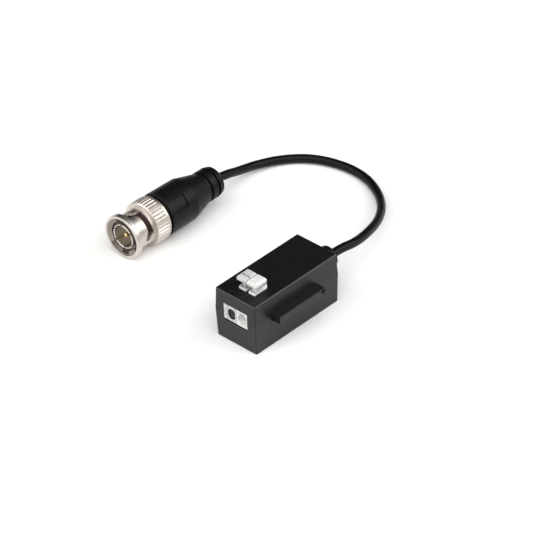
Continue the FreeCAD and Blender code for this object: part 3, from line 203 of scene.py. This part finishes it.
def grain(tree, size_mm, depth_mm, strength=0.5, detail=3.0):
    """A surface normal roughened by lumps size_mm across and depth_mm deep."""
    height = lumps(tree, size_mm, 0.0, 1.0, detail)
    sockets = {"Height": height, "Distance": depth_mm * MM, "Strength": strength}
    return add(tree, "ShaderNodeBump", sockets).outputs["Normal"]


def lines(tree, scale, depth_mm, strength):
    """Noise drawn out into fine lines, as its value and as a surface normal."""
    place = add(tree, "ShaderNodeTexCoord").outputs["Object"]
    stretched = add(tree, "ShaderNodeMapping", {"Vector": place, "Scale": scale})
    noise = add(
        tree,
        "ShaderNodeTexNoise",
        {"Vector": stretched.outputs["Vector"], "Scale": 1.0, "Detail": 3.0},
    ).outputs["Fac"]
    sockets = {"Height": noise, "Distance": depth_mm * MM, "Strength": strength}
    return noise, add(tree, "ShaderNodeBump", sockets).outputs["Normal"]


def past(tree, axis, change, origin=0.0, mirrored=False):
    """0 before a change along an axis and 1 after it, in millimetres from the origin.

    Mirrored, the axis is read as the distance from 0.
    """
    place = add(tree, "ShaderNodeTexCoord").outputs["Object"]
    along = add(tree, "ShaderNodeSeparateXYZ", {"Vector": place}).outputs[axis]
    if mirrored:
        along = add(tree, "ShaderNodeMath", {0: along}, operation="ABSOLUTE").outputs["Value"]
    start, end = [(origin + edge) * MM for edge in change]
    sockets = {"Value": along, "From Min": start, "From Max": end}
    return add(tree, "ShaderNodeMapRange", sockets).outputs["Result"]


def combined(tree, operation, first, *others):
    """Several shares multiplied, or the largest or smallest of them."""
    for other in others:
        joined = add(tree, "ShaderNodeMath", {0: first, 1: other}, operation=operation)
        first = joined.outputs["Value"]
    return first


# Materials: what the real part is made of, and how each was made


def make_eroded_abs():
    """ABS from a spark-eroded mould: black, satin, with a fine pebbled grain.

    The lid's rounded rim is coloured lighter as a painted highlight, where its edges catch
    light.
    """
    material, tree = new_tree("eroded_black_abs")
    low, _ = box_mm("housing_top")
    rim = combined(
        tree,
        "MULTIPLY",
        past(tree, "Z", PAINTED_HIGHLIGHT_RIM, LID_TOP),
        combined(
            tree,
            "MAXIMUM",
            past(tree, "X", PAINTED_HIGHLIGHT_RIM, -low[0], mirrored=True),
            past(tree, "Y", PAINTED_HIGHLIGHT_RIM, -low[1], mirrored=True),
        ),
    )
    clouds = lumps(tree, 6.0, 0.0, 1.0)
    plain = add(
        tree,
        "ShaderNodeMix",
        {0: clouds, MIX_FIRST: srgb("#121213"), MIX_SECOND: srgb("#161617")},
        data_type="RGBA",
    ).outputs[MIX_COLOUR]
    # Painted highlight: the lid's rounded rim is coloured lighter, standing in for the light
    # it catches.
    rim_painted_highlight = add(
        tree,
        "ShaderNodeMix",
        {0: rim, MIX_FIRST: plain, MIX_SECOND: srgb("#6c6c6e")},
        data_type="RGBA",
    ).outputs[MIX_COLOUR]
    # The real grain is about 0.1 mm; 0.22 mm is the finest that still shows here.
    finish_surface(
        tree,
        {
            "Base Color": rim_painted_highlight,
            "Roughness": lumps(tree, 6.0, 0.30, 0.36),
            "Normal": grain(tree, 0.22, 0.013),
            "IOR": 1.53,
            "Specular IOR Level": 0.32,
        },
    )
    return material


def make_moulded_nylon(name, dark, light, mouth_painted_near, mouth_painted_deep, groove, groove_end_painted, rough):
    """Nylon from a polished mould: slightly waxy, soft gloss, faint flow marks.

    The wire mouth's inside is coloured by depth as painted shade on the grey, painted light
    on the white. The screwdriver groove is coloured as painted shade on the grey, darkest at
    its closed end, and as painted light on the white, to hide the groove's own shade.
    """
    material, tree = new_tree(name)
    # Where the mouth's painted light and shade goes
    mouth = combined(
        tree,
        "MULTIPLY",
        past(tree, "Y", MOUTH_START, MOUTH_FACE),
        past(tree, "Z", UNDER_LID, LID_TOP),
        past(tree, "X", MOUTH_LEFT),
    )
    # Where the groove's painted shade, on the grey, and painted light, on the white, goes
    cut = combined(
        tree,
        "MULTIPLY",
        past(tree, "Y", GROOVE_FRONT),
        past(tree, "Y", GROOVE_BACK),
        past(tree, "Z", GROOVE_TOP, LEVER_TOP),
        past(tree, "Z", GROOVE_FLOOR, LEVER_TOP),
    )
    # Pairs of colours for the skin and the painted mouth and groove, and the share of the
    # second
    skin, inside, sunk = [
        add(
            tree,
            "ShaderNodeMix",
            {0: share, MIX_FIRST: srgb(first), MIX_SECOND: srgb(second)},
            data_type="RGBA",
        ).outputs[MIX_COLOUR]
        for share, first, second in (
            (lumps(tree, 2.5, 0.0, 1.0), dark, light),
            (past(tree, "Y", MOUTH_SHADE, MOUTH_FACE), mouth_painted_near, mouth_painted_deep),
            (past(tree, "X", GROOVE_PAINTED_END), groove, groove_end_painted),
        )
    ]
    # The mouth's painted light and shade is laid over the skin's colour, and the groove's
    # over both.
    colour = skin
    for share, over in ((mouth, inside), (cut, sunk)):
        colour = add(
            tree,
            "ShaderNodeMix",
            {0: share, MIX_FIRST: colour, MIX_SECOND: over},
            data_type="RGBA",
        ).outputs[MIX_COLOUR]
    finish_surface(
        tree,
        {
            "Base Color": colour,
            "Roughness": lumps(tree, 2.5, rough - 0.04, rough + 0.04),
            "Normal": grain(tree, 2.5, 0.02, 0.3),
            "IOR": 1.53,
            "Subsurface Weight": 0.5,
            "Subsurface Radius": (0.6 * MM, 0.6 * MM, 0.6 * MM),
            "Subsurface Scale": 1.0,
        },
    )
    return material


def make_nickel_plate():
    """Turned brass under satin nickel: warm white metal with fine turning lines.

    The grip was rolled, not turned, so its flutes are duller. The cone in the ring's mouth is
    burnished, so it mirrors its surroundings, and its colour is a painted dark reflection.
    """
    material, tree = new_tree("nickel_plated_brass")
    # Tool marks run round the plug's axis, so they repeat along Y every 0.35 mm.
    mark, turned = lines(tree, (60.0, 1.0 / (0.35 * MM), 60.0), 0.008, 0.4)
    haze = lumps(tree, 3.0, 0.0, 1.0)
    grip = combined(tree, "MULTIPLY", past(tree, "Y", GRIP_FRONT), past(tree, "Y", GRIP_BACK))
    # Distance from the plug's axis: the place without its part along Y
    off_axis = add(
        tree,
        "ShaderNodeVectorMath",
        {
            0: add(tree, "ShaderNodeTexCoord").outputs["Object"],
            1: (RING_AXIS[0] * MM, 0.0, RING_AXIS[1] * MM),
        },
        operation="SUBTRACT",
    )
    flat = add(
        tree,
        "ShaderNodeVectorMath",
        {0: off_axis.outputs["Vector"], 1: (1.0, 0.0, 1.0)},
        operation="MULTIPLY",
    )
    radius = add(
        tree, "ShaderNodeVectorMath", {0: flat.outputs["Vector"]}, operation="LENGTH"
    ).outputs["Value"]
    inside, outside = [
        add(
            tree,
            "ShaderNodeMapRange",
            {"Value": radius, "From Min": start * MM, "From Max": end * MM},
        ).outputs["Result"]
        for start, end in (CONE_INSIDE, CONE_OUTSIDE)
    ]
    cone = combined(tree, "MULTIPLY", inside, outside, past(tree, "Y", CONE_BACK, RING_FACE))
    plated = add(
        tree,
        "ShaderNodeMix",
        {
            0: combined(tree, "MULTIPLY", haze, mark),
            MIX_FIRST: srgb("#cbc4bd"),
            MIX_SECOND: srgb("#e2dcd6"),
        },
        data_type="RGBA",
    ).outputs[MIX_COLOUR]
    # Painted reflection: the burnished cone is coloured darker, for the dark surroundings it
    # mirrors.
    colour = add(
        tree,
        "ShaderNodeMix",
        {0: cone, MIX_FIRST: plated, MIX_SECOND: srgb("#8d867e")},
        data_type="RGBA",
    ).outputs[MIX_COLOUR]
    rough = lumps(tree, 3.0, 0.32, 0.40)
    for share, changed in ((grip, 0.44), (cone, 0.1)):
        sockets = {"Value": share, "To Min": rough, "To Max": changed}
        rough = add(tree, "ShaderNodeMapRange", sockets).outputs["Result"]
    finish_surface(
        tree,
        {"Base Color": colour, "Metallic": 1.0, "Roughness": rough, "Normal": turned},
    )
    return material


def make_gold_plate():
    """Gold flash over nickel on the centre pin: yellow, clean and bright."""
    material, tree = new_tree("gold_plate")
    finish_surface(
        tree,
        {
            "Base Color": srgb("#e2cc98"),
            "Metallic": 1.0,
            "Roughness": lumps(tree, 1.0, 0.16, 0.24),
        },
    )
    return material


def make_soft_pvc(name, colour, grain_mm, depth_mm, rough, gloss):
    """Soft PVC, extruded or moulded: black, a little greasy, with faint unevenness."""
    material, tree = new_tree(name)
    finish_surface(
        tree,
        {
            "Base Color": srgb(colour),
            "Roughness": lumps(tree, grain_mm, rough - 0.05, rough + 0.05, 3.0),
            "Normal": grain(tree, grain_mm, depth_mm),
            "IOR": 1.52,
            "Specular IOR Level": gloss,
        },
    )
    return material


def make_silicone():
    """Dark red silicone rubber: matt, with a soft bloom."""
    material, tree = new_tree("dark_red_silicone")
    bloom = lumps(tree, 0.8, 0.0, 1.0)
    colour = add(
        tree,
        "ShaderNodeMix",
        {0: bloom, MIX_FIRST: srgb("#260b0a"), MIX_SECOND: srgb("#300e0c")},
        data_type="RGBA",
    ).outputs[MIX_COLOUR]
    finish_surface(
        tree,
        {
            "Base Color": colour,
            "Roughness": 0.55,
            "Normal": grain(tree, 0.8, 0.02, 0.4, 2.0),
            "IOR": 1.43,
        },
    )
    return material


def make_ptfe():
    """Machined PTFE: waxy off-white, faint rings from the cutter."""
    material, tree = new_tree("machined_ptfe")
    finish_surface(
        tree,
        {
            "Base Color": srgb("#cfc8ba"),
            "Roughness": lumps(tree, 1.2, 0.35, 0.45),
            "Normal": grain(tree, 1.2, 0.01, 0.3, 2.0),
            "Subsurface Weight": 0.2,
            "Subsurface Radius": (0.5 * MM, 0.5 * MM, 0.5 * MM),
            "Subsurface Scale": 1.0,
            "IOR": 1.35,
        },
    )
    return material


def make_strip_metal(name, colour, rough):
    """Rolled strip or drawn wire: fine streaks along the rolling direction."""
    material, tree = new_tree(name)
    _, streaked = lines(tree, (4000.0, 300.0, 4000.0), 0.004, 0.4)
    finish_surface(
        tree,
        {
            "Base Color": srgb(colour),
            "Metallic": 1.0,
            "Roughness": lumps(tree, 0.5, rough - 0.05, rough + 0.08),
            "Normal": streaked,
        },
    )
    return material


def make_ferrite():
    """Sintered ferrite: charcoal, dull, slightly gritty."""
    material, tree = new_tree("sintered_ferrite")
    finish_surface(
        tree,
        {
            "Base Color": srgb("#35363a"),
            "Roughness": lumps(tree, 0.2, 0.6, 0.8, 4.0),
            "Normal": grain(tree, 0.2, 0.03, 0.6, 4.0),
        },
    )
    return material


def make_enamelled_copper():
    """Copper wire under clear enamel: reddish metal with a glossy coat."""
    material, tree = new_tree("enamelled_copper")
    finish_surface(
        tree,
        {
            "Base Color": srgb("#b0562c"),
            "Metallic": 1.0,
            "Roughness": lumps(tree, 1.0, 0.22, 0.32),
            "Coat Weight": 0.7,
            "Coat Roughness": 0.08,
        },
    )
    return material


def make_board_laminate():
    """Glass laminate under green solder mask, with the weave just showing."""
    material, tree = new_tree("green_laminate")
    # The glass threads lie 0.6 mm apart.
    weave = add(
        tree,
        "ShaderNodeTexWave",
        {
            "Vector": add(tree, "ShaderNodeTexCoord").outputs["Object"],
            "Scale": 1.0 / (0.6 * MM) / (2.0 * math.pi),
            "Distortion": 0.4,
        },
    ).outputs["Fac"]
    raised = add(
        tree, "ShaderNodeBump", {"Height": weave, "Distance": 0.01 * MM, "Strength": 0.3}
    )
    colour = add(
        tree,
        "ShaderNodeMix",
        {0: weave, MIX_FIRST: srgb("#1c5c33"), MIX_SECOND: srgb("#23693c")},
        data_type="RGBA",
    ).outputs[MIX_COLOUR]
    finish_surface(
        tree,
        {"Base Color": colour, "Roughness": 0.35, "Normal": raised.outputs["Normal"]},
    )
    return material


def make_epoxy(name, colour, rough):
    """Moulded epoxy or lacquer on a small component."""
    material, tree = new_tree(name)
    finish_surface(
        tree,
        {
            "Base Color": srgb(colour),
            "Roughness": lumps(tree, 0.5, rough - 0.04, rough + 0.04),
            "Normal": grain(tree, 0.5, 0.01, 0.4, 2.0),
        },
    )
    return material


def make_floor_paper():
    """A pale studio sweep: matt paper with a very faint tooth."""
    material, tree = new_tree("studio_paper")
    finish_surface(
        tree,
        {
            "Base Color": srgb("#f6f6f5"),
            "Roughness": 0.9,
            "Normal": grain(tree, 1.5, 0.01, 0.1, 2.0),
            "Specular IOR Level": 0.1,
        },
    )
    return material


def dress_nodes():
    """Gives every carried-over node its material."""
    black = make_eroded_abs()
    # After the name: two skin colours, the wire mouth's painted shade near and deep, the
    # groove's painted shade and its darker end, and the roughness.
    grey = make_moulded_nylon(
        "grey_nylon", "#b9babb", "#c1c2c3", "#4b4b4c", "#1a1a1b", "#8a8a8b", "#3a3a3b", 0.36
    )
    # The white's mouth and groove colours are painted light, kept pale against the shade
    # there.
    white = make_moulded_nylon(
        "white_nylon", "#d2d2d1", "#d8d8d7", "#dededd", "#d0d0d0", "#f2f2f1", "#f2f2f1", 0.34
    )
    nickel = make_nickel_plate()
    spring = make_strip_metal("spring_steel", "#b9b7b3", 0.28)
    jacket = make_soft_pvc("pvc_jacket", "#0b0b0c", 0.9, 0.02, 0.33, 0.15)
    boot = make_soft_pvc("pvc_boot", "#0d0d0e", 0.35, 0.02, 0.42, 0.15)
    finishes = {
        black: ["housing_base", "housing_top"],
        grey: ["terminal_body_grey", "lever_grey"],
        white: ["terminal_body_white", "lever_white", "core_lead"],
        nickel: [
            "plug_body",
            "outer_contact",
            "coupling_ring",
            "thrust_washer",
            "crimp_ferrule",
        ],
        spring: ["wave_spring", "retaining_ring", "clamp_spring_grey", "clamp_spring_white"],
        boot: ["plug_boot", "cable_gland"],
        jacket: ["shield_lead", "pigtail_cord"],
        make_gold_plate(): ["centre_pin"],
        make_silicone(): ["seal"],
        make_ptfe(): ["insulator"],
        make_strip_metal("tinned_brass", "#c9c4b8", 0.3): ["contact_grey", "contact_white"],
        make_ferrite(): ["balun_core"],
        make_enamelled_copper(): ["balun_winding"],
        make_board_laminate(): ["circuit_board"],
        make_epoxy("black_epoxy", "#232323", 0.35): ["surge_suppressor"],
        make_epoxy("blue_lacquer", "#7fa6bd", 0.25): ["matching_resistor"],
    }
    for material, nodes in finishes.items():
        for node in nodes:
            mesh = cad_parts[node].data
            mesh.materials.clear()
            mesh.materials.append(material)
    return {"jacket": jacket, "black": black, "grey": grey, "white": white}


# The pigtail cord

CORD_WIDTH = 2.8
CORD_ROUTE = [
    (0.0, 22.4, 9.8),
    (0.0, 27.0, 9.8),
    (0.2, 33.5, 8.6),
    (-1.9, 41.7, 7.1),
    (-5.7, 50.3, 5.0),
    (-11.7, 58.5, 3.1),
    (-19.7, 64.9, 1.8),
    (-28.6, 68.5, 1.45),
    (-38.2, 68.2, 1.45),
    (-47.2, 64.8, 1.45),
    (-53.6, 58.3, 1.45),
    (-56.6, 50.4, 2.2),
    (-56.0, 42.0, 4.5),
    (-55.4, 36.2, 6.65),
    (-55.4, 31.1, 7.3),
]


def make_cord(jacket):
    """The cord as one smooth spline through its route, from the gland to the boot."""
    data = bpy.data.curves.new("cord_jacket", "CURVE")
    data.dimensions = "3D"
    spline = data.splines.new("NURBS")
    spline.points.add(len(CORD_ROUTE) - 1)
    for point, place in zip(spline.points, CORD_ROUTE):
        point.co = (*(Vector(place) * MM), 1.0)
    spline.order_u = 3
    spline.use_endpoint_u = True
    spline.resolution_u = 16
    data.bevel_depth = CORD_WIDTH / 2 * MM
    data.bevel_resolution = 8
    data.use_fill_caps = True
    data.materials.append(jacket)
    cord = bpy.data.objects.new("cord_jacket", data)
    bpy.context.scene.collection.objects.link(cord)
    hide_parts("pigtail_cord")
    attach(cord, "balun")


# Pieces worked out on grids of points

# Points nearer than this, in millimetres, are one point; edges bent further stay sharp.
SAME_PLACE = 0.0005
SHARP_ANGLE = math.radians(32)


def grid_mesh(name, grids):
    """One mesh from grids of points in millimetres, each closed round its second direction.

    A row drawn to a point becomes one vertex, so every grid ends in closed poles, or, where
    its first and last rows are the same, in a closed ring.
    """
    points, faces, start = [], [], 0
    for grid in grids:
        rows, columns = grid.shape[:2]
        index = start + np.arange(rows * columns).reshape(rows, columns)
        index = np.concatenate([index, index[:, :1]], axis=1)
        corners = [index[:-1, :-1], index[:-1, 1:], index[1:, 1:], index[1:, :-1]]
        faces.append(np.stack(corners, axis=-1).reshape(-1, 4))
        points.append(grid.reshape(-1, 3) * MM)
        start += rows * columns
    mesh = bpy.data.meshes.new(name)
    mesh.from_pydata(np.concatenate(points).tolist(), [], np.concatenate(faces).tolist())
    merge_points(mesh)
    return mesh


def merge_points(mesh):
    """Joins points that lie in one place, turns faces outwards and smooths soft edges."""
    shell = bmesh.new()
    shell.from_mesh(mesh)
    bmesh.ops.remove_doubles(shell, verts=shell.verts, dist=SAME_PLACE * MM)
    bmesh.ops.recalc_face_normals(shell, faces=shell.faces)
    shell.to_mesh(mesh)
    shell.free()
    mesh.polygons.foreach_set("use_smooth", np.ones(len(mesh.polygons), bool))
    mesh.set_sharp_from_angle(angle=SHARP_ANGLE)


def new_piece(name, mesh, material, body):
    """A finished piece that rides on a body of the part."""
    if material is not None:
        mesh.materials.append(material)
    piece = bpy.data.objects.new(name, mesh)
    bpy.context.scene.collection.objects.link(piece)
    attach(piece, body)
    return piece


# Terminal: collars, wire mouths and the white lever's skirt

COLLAR_RISE = 0.95
FRONT_RISE = 0.5
REAR_RISE = 1.2
COLLAR_FRONT = -13.1
COLLAR_BACK = -7.75
MOUTH_WIDTH = 2.88
MOUTH_HEIGHT = 3.5
MOUTH_SQUARENESS = 0.78
MOUTH_DEEP = 0.9
MOUTH_SET_BACK = 0.01
MOUTH_TAPER = 0.94
MOUTH_POINTS = 72
ARCH_CENTRE = (-0.15, 0.15)
ARCH_RADIUS = 1.6
POCKET_WIDTH = 2.94
POCKET_HEIGHT = 3.54
WIRE_LEVEL = 10.25
MOUTH_MIDDLES = {"grey": -1.525, "white": 2.525}
# Margin in millimetres by which the points of the arched mouth are told from others
NEAR = 0.01


def collar_rise(y):
    """How far the collars' rim stands over the lid: it climbs evenly from front to back."""
    share = np.clip((y - COLLAR_FRONT) / (COLLAR_BACK - COLLAR_FRONT), 0, 1)
    return FRONT_RISE + (REAR_RISE - FRONT_RISE) * share


def slope_collar(pole):
    """The terminal body with the rim of its lever collar sloped up towards the back.

    Above the lid each height is scaled by collar_rise over the solid's even rise. The points
    of the mouth's one round corner go out to a square one, for the round rim set in it.
    """
    node = f"terminal_body_{pole}"
    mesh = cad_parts[node].data.copy()
    mesh.name = f"wire_block_{pole}"
    merge_points(mesh)
    places = np.empty(len(mesh.vertices) * 3)
    mesh.vertices.foreach_get("co", places)
    places = places.reshape(-1, 3)
    centre = (MOUTH_MIDDLES[pole] + ARCH_CENTRE[0], WIRE_LEVEL + ARCH_CENTRE[1])
    across, up = places[:, 0] / MM - centre[0], places[:, 2] / MM - centre[1]
    reach = np.hypot(across, up)
    arch = (across > -NEAR) & (up > -NEAR) & (np.abs(reach - ARCH_RADIUS) < 2 * NEAR)
    arch &= places[:, 1] / MM < MOUTH_FACE + MOUTH_DEEP + NEAR
    squared = reach[arch] / np.maximum(across[arch], up[arch])
    places[arch, 0] += across[arch] * (squared - 1) * MM
    places[arch, 2] += up[arch] * (squared - 1) * MM
    over = np.maximum(places[:, 2] / MM - LID_TOP, 0)
    places[:, 2] += over * (collar_rise(places[:, 1] / MM) / COLLAR_RISE - 1) * MM
    mesh.vertices.foreach_set("co", places.ravel())
    mesh.update()
    block = new_piece(f"wire_block_{pole}", mesh, None, "balun")
    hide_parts(node)


def make_wire_mouth(pole, nylon):
    """The upright round-ended rim inside a terminal's square pocket.

    Its hole is a superellipse: cosine and sine to MOUTH_SQUARENESS, times the half width and
    half height. The section runs from the pocket's wall over the rim and back into the hole.
    """
    half_wide, half_high = POCKET_WIDTH / 2, POCKET_HEIGHT / 2
    corner = math.atan2(half_high, half_wide)
    turn = np.union1d(
        np.linspace(0, 2 * math.pi, MOUTH_POINTS, endpoint=False),
        [corner, math.pi - corner, math.pi + corner, 2 * math.pi - corner],
    )
    cosine, sine = np.cos(turn), np.sin(turn)
    reach = 1 / np.maximum(np.abs(cosine) / half_wide, np.abs(sine) / half_high)
    pocket = np.stack([cosine * reach, sine * reach], axis=-1)
    hole = np.stack(
        [
            np.sign(cosine) * np.abs(cosine) ** MOUTH_SQUARENESS * MOUTH_WIDTH / 2,
            np.sign(sine) * np.abs(sine) ** MOUTH_SQUARENESS * MOUTH_HEIGHT / 2,
        ],
        axis=-1,
    )
    # Depth behind the face and size of the outline, from the pocket's wall round to it again
    section = [
        (MOUTH_SET_BACK, pocket),
        (MOUTH_SET_BACK, hole),
        (MOUTH_DEEP, hole * MOUTH_TAPER),
        (MOUTH_DEEP, pocket),
        (MOUTH_SET_BACK, pocket),
    ]
    rows = [
        np.stack(
            [
                MOUTH_MIDDLES[pole] + plan[:, 0],
                np.full(len(turn), MOUTH_FACE + deep),
                WIRE_LEVEL + plan[:, 1],
            ],
            axis=-1,
        )
        for deep, plan in section
    ]
    mesh = grid_mesh(f"wire_mouth_{pole}", [np.stack(rows)])
    new_piece(f"wire_mouth_{pole}", mesh, nylon, "balun")


SKIRT_LEFT, FLANK_LEFT, SKIRT_RIGHT = 3.0, 3.88, 4.42
SKIRT_FRONT, SKIRT_BACK = -13.2, -9.9
SKIRT_TOP = 20.2
SKIRT_GAP = 0.05
SKIRT_POINTS = 64
# Size of the plan and height over the underside, row by row; None is the top
SKIRT_ROWS = ((0, 0), (0.8, 0), (0.95, 0.04), (1, 0.15), (1, None), (0, None))
PLAN_POWER = 2 / 5
LEVER_TRAVEL = 1.0


def make_lever_skirt(nylon):
    """The white lever's broad right side: a skirt over the collar and a flank outside it.

    Each plan is a superellipse of the fifth power. The skirt's underside follows the collar's
    slope and the flank's the lid, and both stay clear of them by the lever's travel.
    """
    turn = np.linspace(0, 2 * math.pi, SKIRT_POINTS, endpoint=False)
    cosine, sine = np.cos(turn), np.sin(turn)
    across = np.sign(cosine) * np.abs(cosine) ** PLAN_POWER
    along = np.sign(sine) * np.abs(sine) ** PLAN_POWER
    y_half = (SKIRT_BACK - SKIRT_FRONT) / 2
    grids = []
    for left, over_collar in ((SKIRT_LEFT, 1), (FLANK_LEFT, 0)):
        x_half = (SKIRT_RIGHT - left) / 2
        rows = []
        for size, lift in SKIRT_ROWS:
            x = left + x_half + size * x_half * across
            y = SKIRT_FRONT + y_half + size * y_half * along
            under = LID_TOP + over_collar * collar_rise(y) + LEVER_TRAVEL + SKIRT_GAP
            z = np.full(len(turn), SKIRT_TOP) if lift is None else under + lift
            rows.append(np.stack([x, y, z], axis=-1))
        rows[0][:] = rows[0].mean(axis=0)
        grids.append(np.stack(rows))
    mesh = grid_mesh("lever_skirt_white", grids)
    new_piece("lever_skirt_white", mesh, nylon, "white_lever")


# Springs, copied to ride on the balun in their place

RING_TRAVEL = 0.8
PRESSED_SPRINGS = [
    ("wave_spring", "ring_push", (0, 1, 0), RING_TRAVEL),
    ("clamp_spring_grey", "grey_lever_press", (0, 0, 1), LEVER_TRAVEL),
    ("clamp_spring_white", "white_lever_press", (0, 0, 1), LEVER_TRAVEL),
]


def make_pressed_springs():
    """Copies of the springs with their points merged, riding on the balun in the springs'
    place.
    """
    for node, joint, axis, travel in PRESSED_SPRINGS:
        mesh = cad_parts[node].data.copy()
        mesh.name = f"pressed_{node}"
        merge_points(mesh)
        spring = new_piece(f"pressed_{node}", mesh, None, "balun")
        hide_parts(node)
        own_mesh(spring)


# Embossed polarity marks on the lid

MARK_LENGTH = 2.0
MARK_WIDTH = 0.42
MARK_HEIGHT = 0.12
MARK_ROWS, MARK_COLUMNS = 25, 16
PLUS_PLACE = (-2.9, -15.35)
MINUS_PLACE = (2.1, -14.95)


def rounded_bar(place, along_x):
    """A low rounded bar, half sunk in the lid.

    Its section is an ellipse that shrinks by the square root of 1 - s^6 towards the ends,
    with s from -1 to 1 along the bar.
    """
    s, turn = np.meshgrid(
        np.linspace(-1, 1, MARK_ROWS),
        np.linspace(0, 2 * math.pi, MARK_COLUMNS, endpoint=False),
        indexing="ij",
    )
    size = np.sqrt(1 - s**6)
    along = s * MARK_LENGTH / 2
    across = size * np.cos(turn) * MARK_WIDTH / 2
    z = LID_TOP + size * np.sin(turn) * MARK_HEIGHT
    x = place[0] + (along if along_x else across)
    y = place[1] + (across if along_x else along)
    return np.stack([x, y, z], axis=-1)


def make_polarity_marks(black):
    """A raised plus in front of the grey lever and a raised minus before the white one."""
    plus = [rounded_bar(PLUS_PLACE, True), rounded_bar(PLUS_PLACE, False)]
    minus = [rounded_bar(MINUS_PLACE, False)]
    for name, bars in (("plus_mark", plus), ("minus_mark", minus)):
        new_piece(name, grid_mesh(name, bars), black, "balun")


# Floor and lights, in metres and watts; the surround's levels are shares of full white

FLOOR_SIZE = 3.0
FLOOR_DROP = 0.05 * MM
PART_MIDDLE = Vector((-20.0, 20.0, 0.0)) * MM
LIT_SIDE = 0.95
DARK_SIDE = 0.03
DARK_EDGE = 0.5
DARK_CORE = 0.82
SKYLINE = 0.55
SKYLINE_LEVEL = 0.1
SKYLINE_TOP = 0.32
SCRIM_DIRECTION = (0.35, -0.35, 1.0)
SCRIM_SPREAD = math.radians(75)
SCRIM_STRENGTH = 1.5
SOFTBOX_DISTANCE = 1.0
# Name, direction from the part, width, height and watts
SOFTBOXES = [
    ("front_left_box", (-0.57, -0.59, 0.57), 0.9, 0.6, 2.2),
    ("rear_right_box", (0.59, 0.58, 0.57), 0.8, 0.5, 3.0),
]


def make_floor():
    """A wide pale floor just under the housing's base."""
    mesh = bpy.data.meshes.new("studio_floor")
    half = FLOOR_SIZE / 2
    corners = [(-half, -half, 0), (half, -half, 0), (half, half, 0), (-half, half, 0)]
    mesh.from_pydata(corners, [], [(0, 1, 2, 3)])
    mesh.materials.append(make_floor_paper())
    floor = bpy.data.objects.new("studio_floor", mesh)
    floor.location = (0, 0, -FLOOR_DROP)
    bpy.context.scene.collection.objects.link(floor)


def make_softbox(name, direction, width, height, watts):
    """A rectangular softbox in this direction from the part, facing it."""
    data = bpy.data.lights.new(name, "AREA")
    data.shape = "RECTANGLE"
    data.size = width
    data.size_y = height
    data.energy = watts
    lamp = bpy.data.objects.new(name, data)
    away = Vector(direction).normalized()
    turn = away.to_track_quat("Z", "Y").to_matrix().to_4x4()
    place = PART_MIDDLE + away * SOFTBOX_DISTANCE
    lamp.matrix_world = Matrix.Translation(place) @ turn
    bpy.context.scene.collection.objects.link(lamp)


def make_surround():
    """A pale studio that falls dark behind the part, on the side that the lid mirrors.

    Brightness falls from LIT_SIDE to DARK_SIDE as the direction nears that side, and is
    lowered to SKYLINE of itself in a band round the horizon.
    """
    world = bpy.data.worlds.new("studio")
    world.use_nodes = True
    tree = world.node_tree
    tree.nodes.clear()
    _, _, back = camera_axes()
    direction = add(tree, "ShaderNodeTexCoord").outputs["Generated"]
    nearness = add(
        tree,
        "ShaderNodeVectorMath",
        {0: direction, 1: (-back.x, -back.y, back.z)},
        operation="DOT_PRODUCT",
    )
    brightness = add(
        tree,
        "ShaderNodeMapRange",
        {
            "Value": nearness.outputs["Value"],
            "From Min": DARK_EDGE,
            "From Max": DARK_CORE,
            "To Min": LIT_SIDE,
            "To Max": DARK_SIDE,
        },
        interpolation_type="SMOOTHSTEP",
    ).outputs["Result"]
    height = add(tree, "ShaderNodeSeparateXYZ", {"Vector": direction}).outputs["Z"]
    level = add(tree, "ShaderNodeMath", {0: height}, operation="ABSOLUTE")
    skyline = add(
        tree,
        "ShaderNodeMapRange",
        {
            "Value": level.outputs["Value"],
            "From Min": SKYLINE_LEVEL,
            "From Max": SKYLINE_TOP,
            "To Min": SKYLINE,
            "To Max": 1.0,
        },
    ).outputs["Result"]
    strength = combined(tree, "MULTIPLY", brightness, skyline)
    backdrop = add(
        tree, "ShaderNodeBackground", {"Color": srgb("#fffdfb"), "Strength": strength}
    )
    add(tree, "ShaderNodeOutputWorld", {"Surface": backdrop.outputs["Background"]})
    bpy.context.scene.world = world


def make_lights():
    """A wide even overhead light and two softboxes in a pale surround."""
    data = bpy.data.lights.new("overhead_scrim", "SUN")
    data.angle = SCRIM_SPREAD
    data.energy = SCRIM_STRENGTH
    lamp = bpy.data.objects.new("overhead_scrim", data)
    away = Vector(SCRIM_DIRECTION).normalized()
    lamp.matrix_world = away.to_track_quat("Z", "Y").to_matrix().to_4x4()
    bpy.context.scene.collection.objects.link(lamp)
    for softbox in SOFTBOXES:
        make_softbox(*softbox)
    make_surround()
    bpy.context.scene.view_settings.view_transform = "Standard"


make_camera()
finishes = dress_nodes()
make_cord(finishes["jacket"])
for pole in ("grey", "white"):
    slope_collar(pole)
    make_wire_mouth(pole, finishes[pole])
make_lever_skirt(finishes["white"])
make_pressed_springs()
make_polarity_marks(finishes["black"])
make_floor()
make_lights()
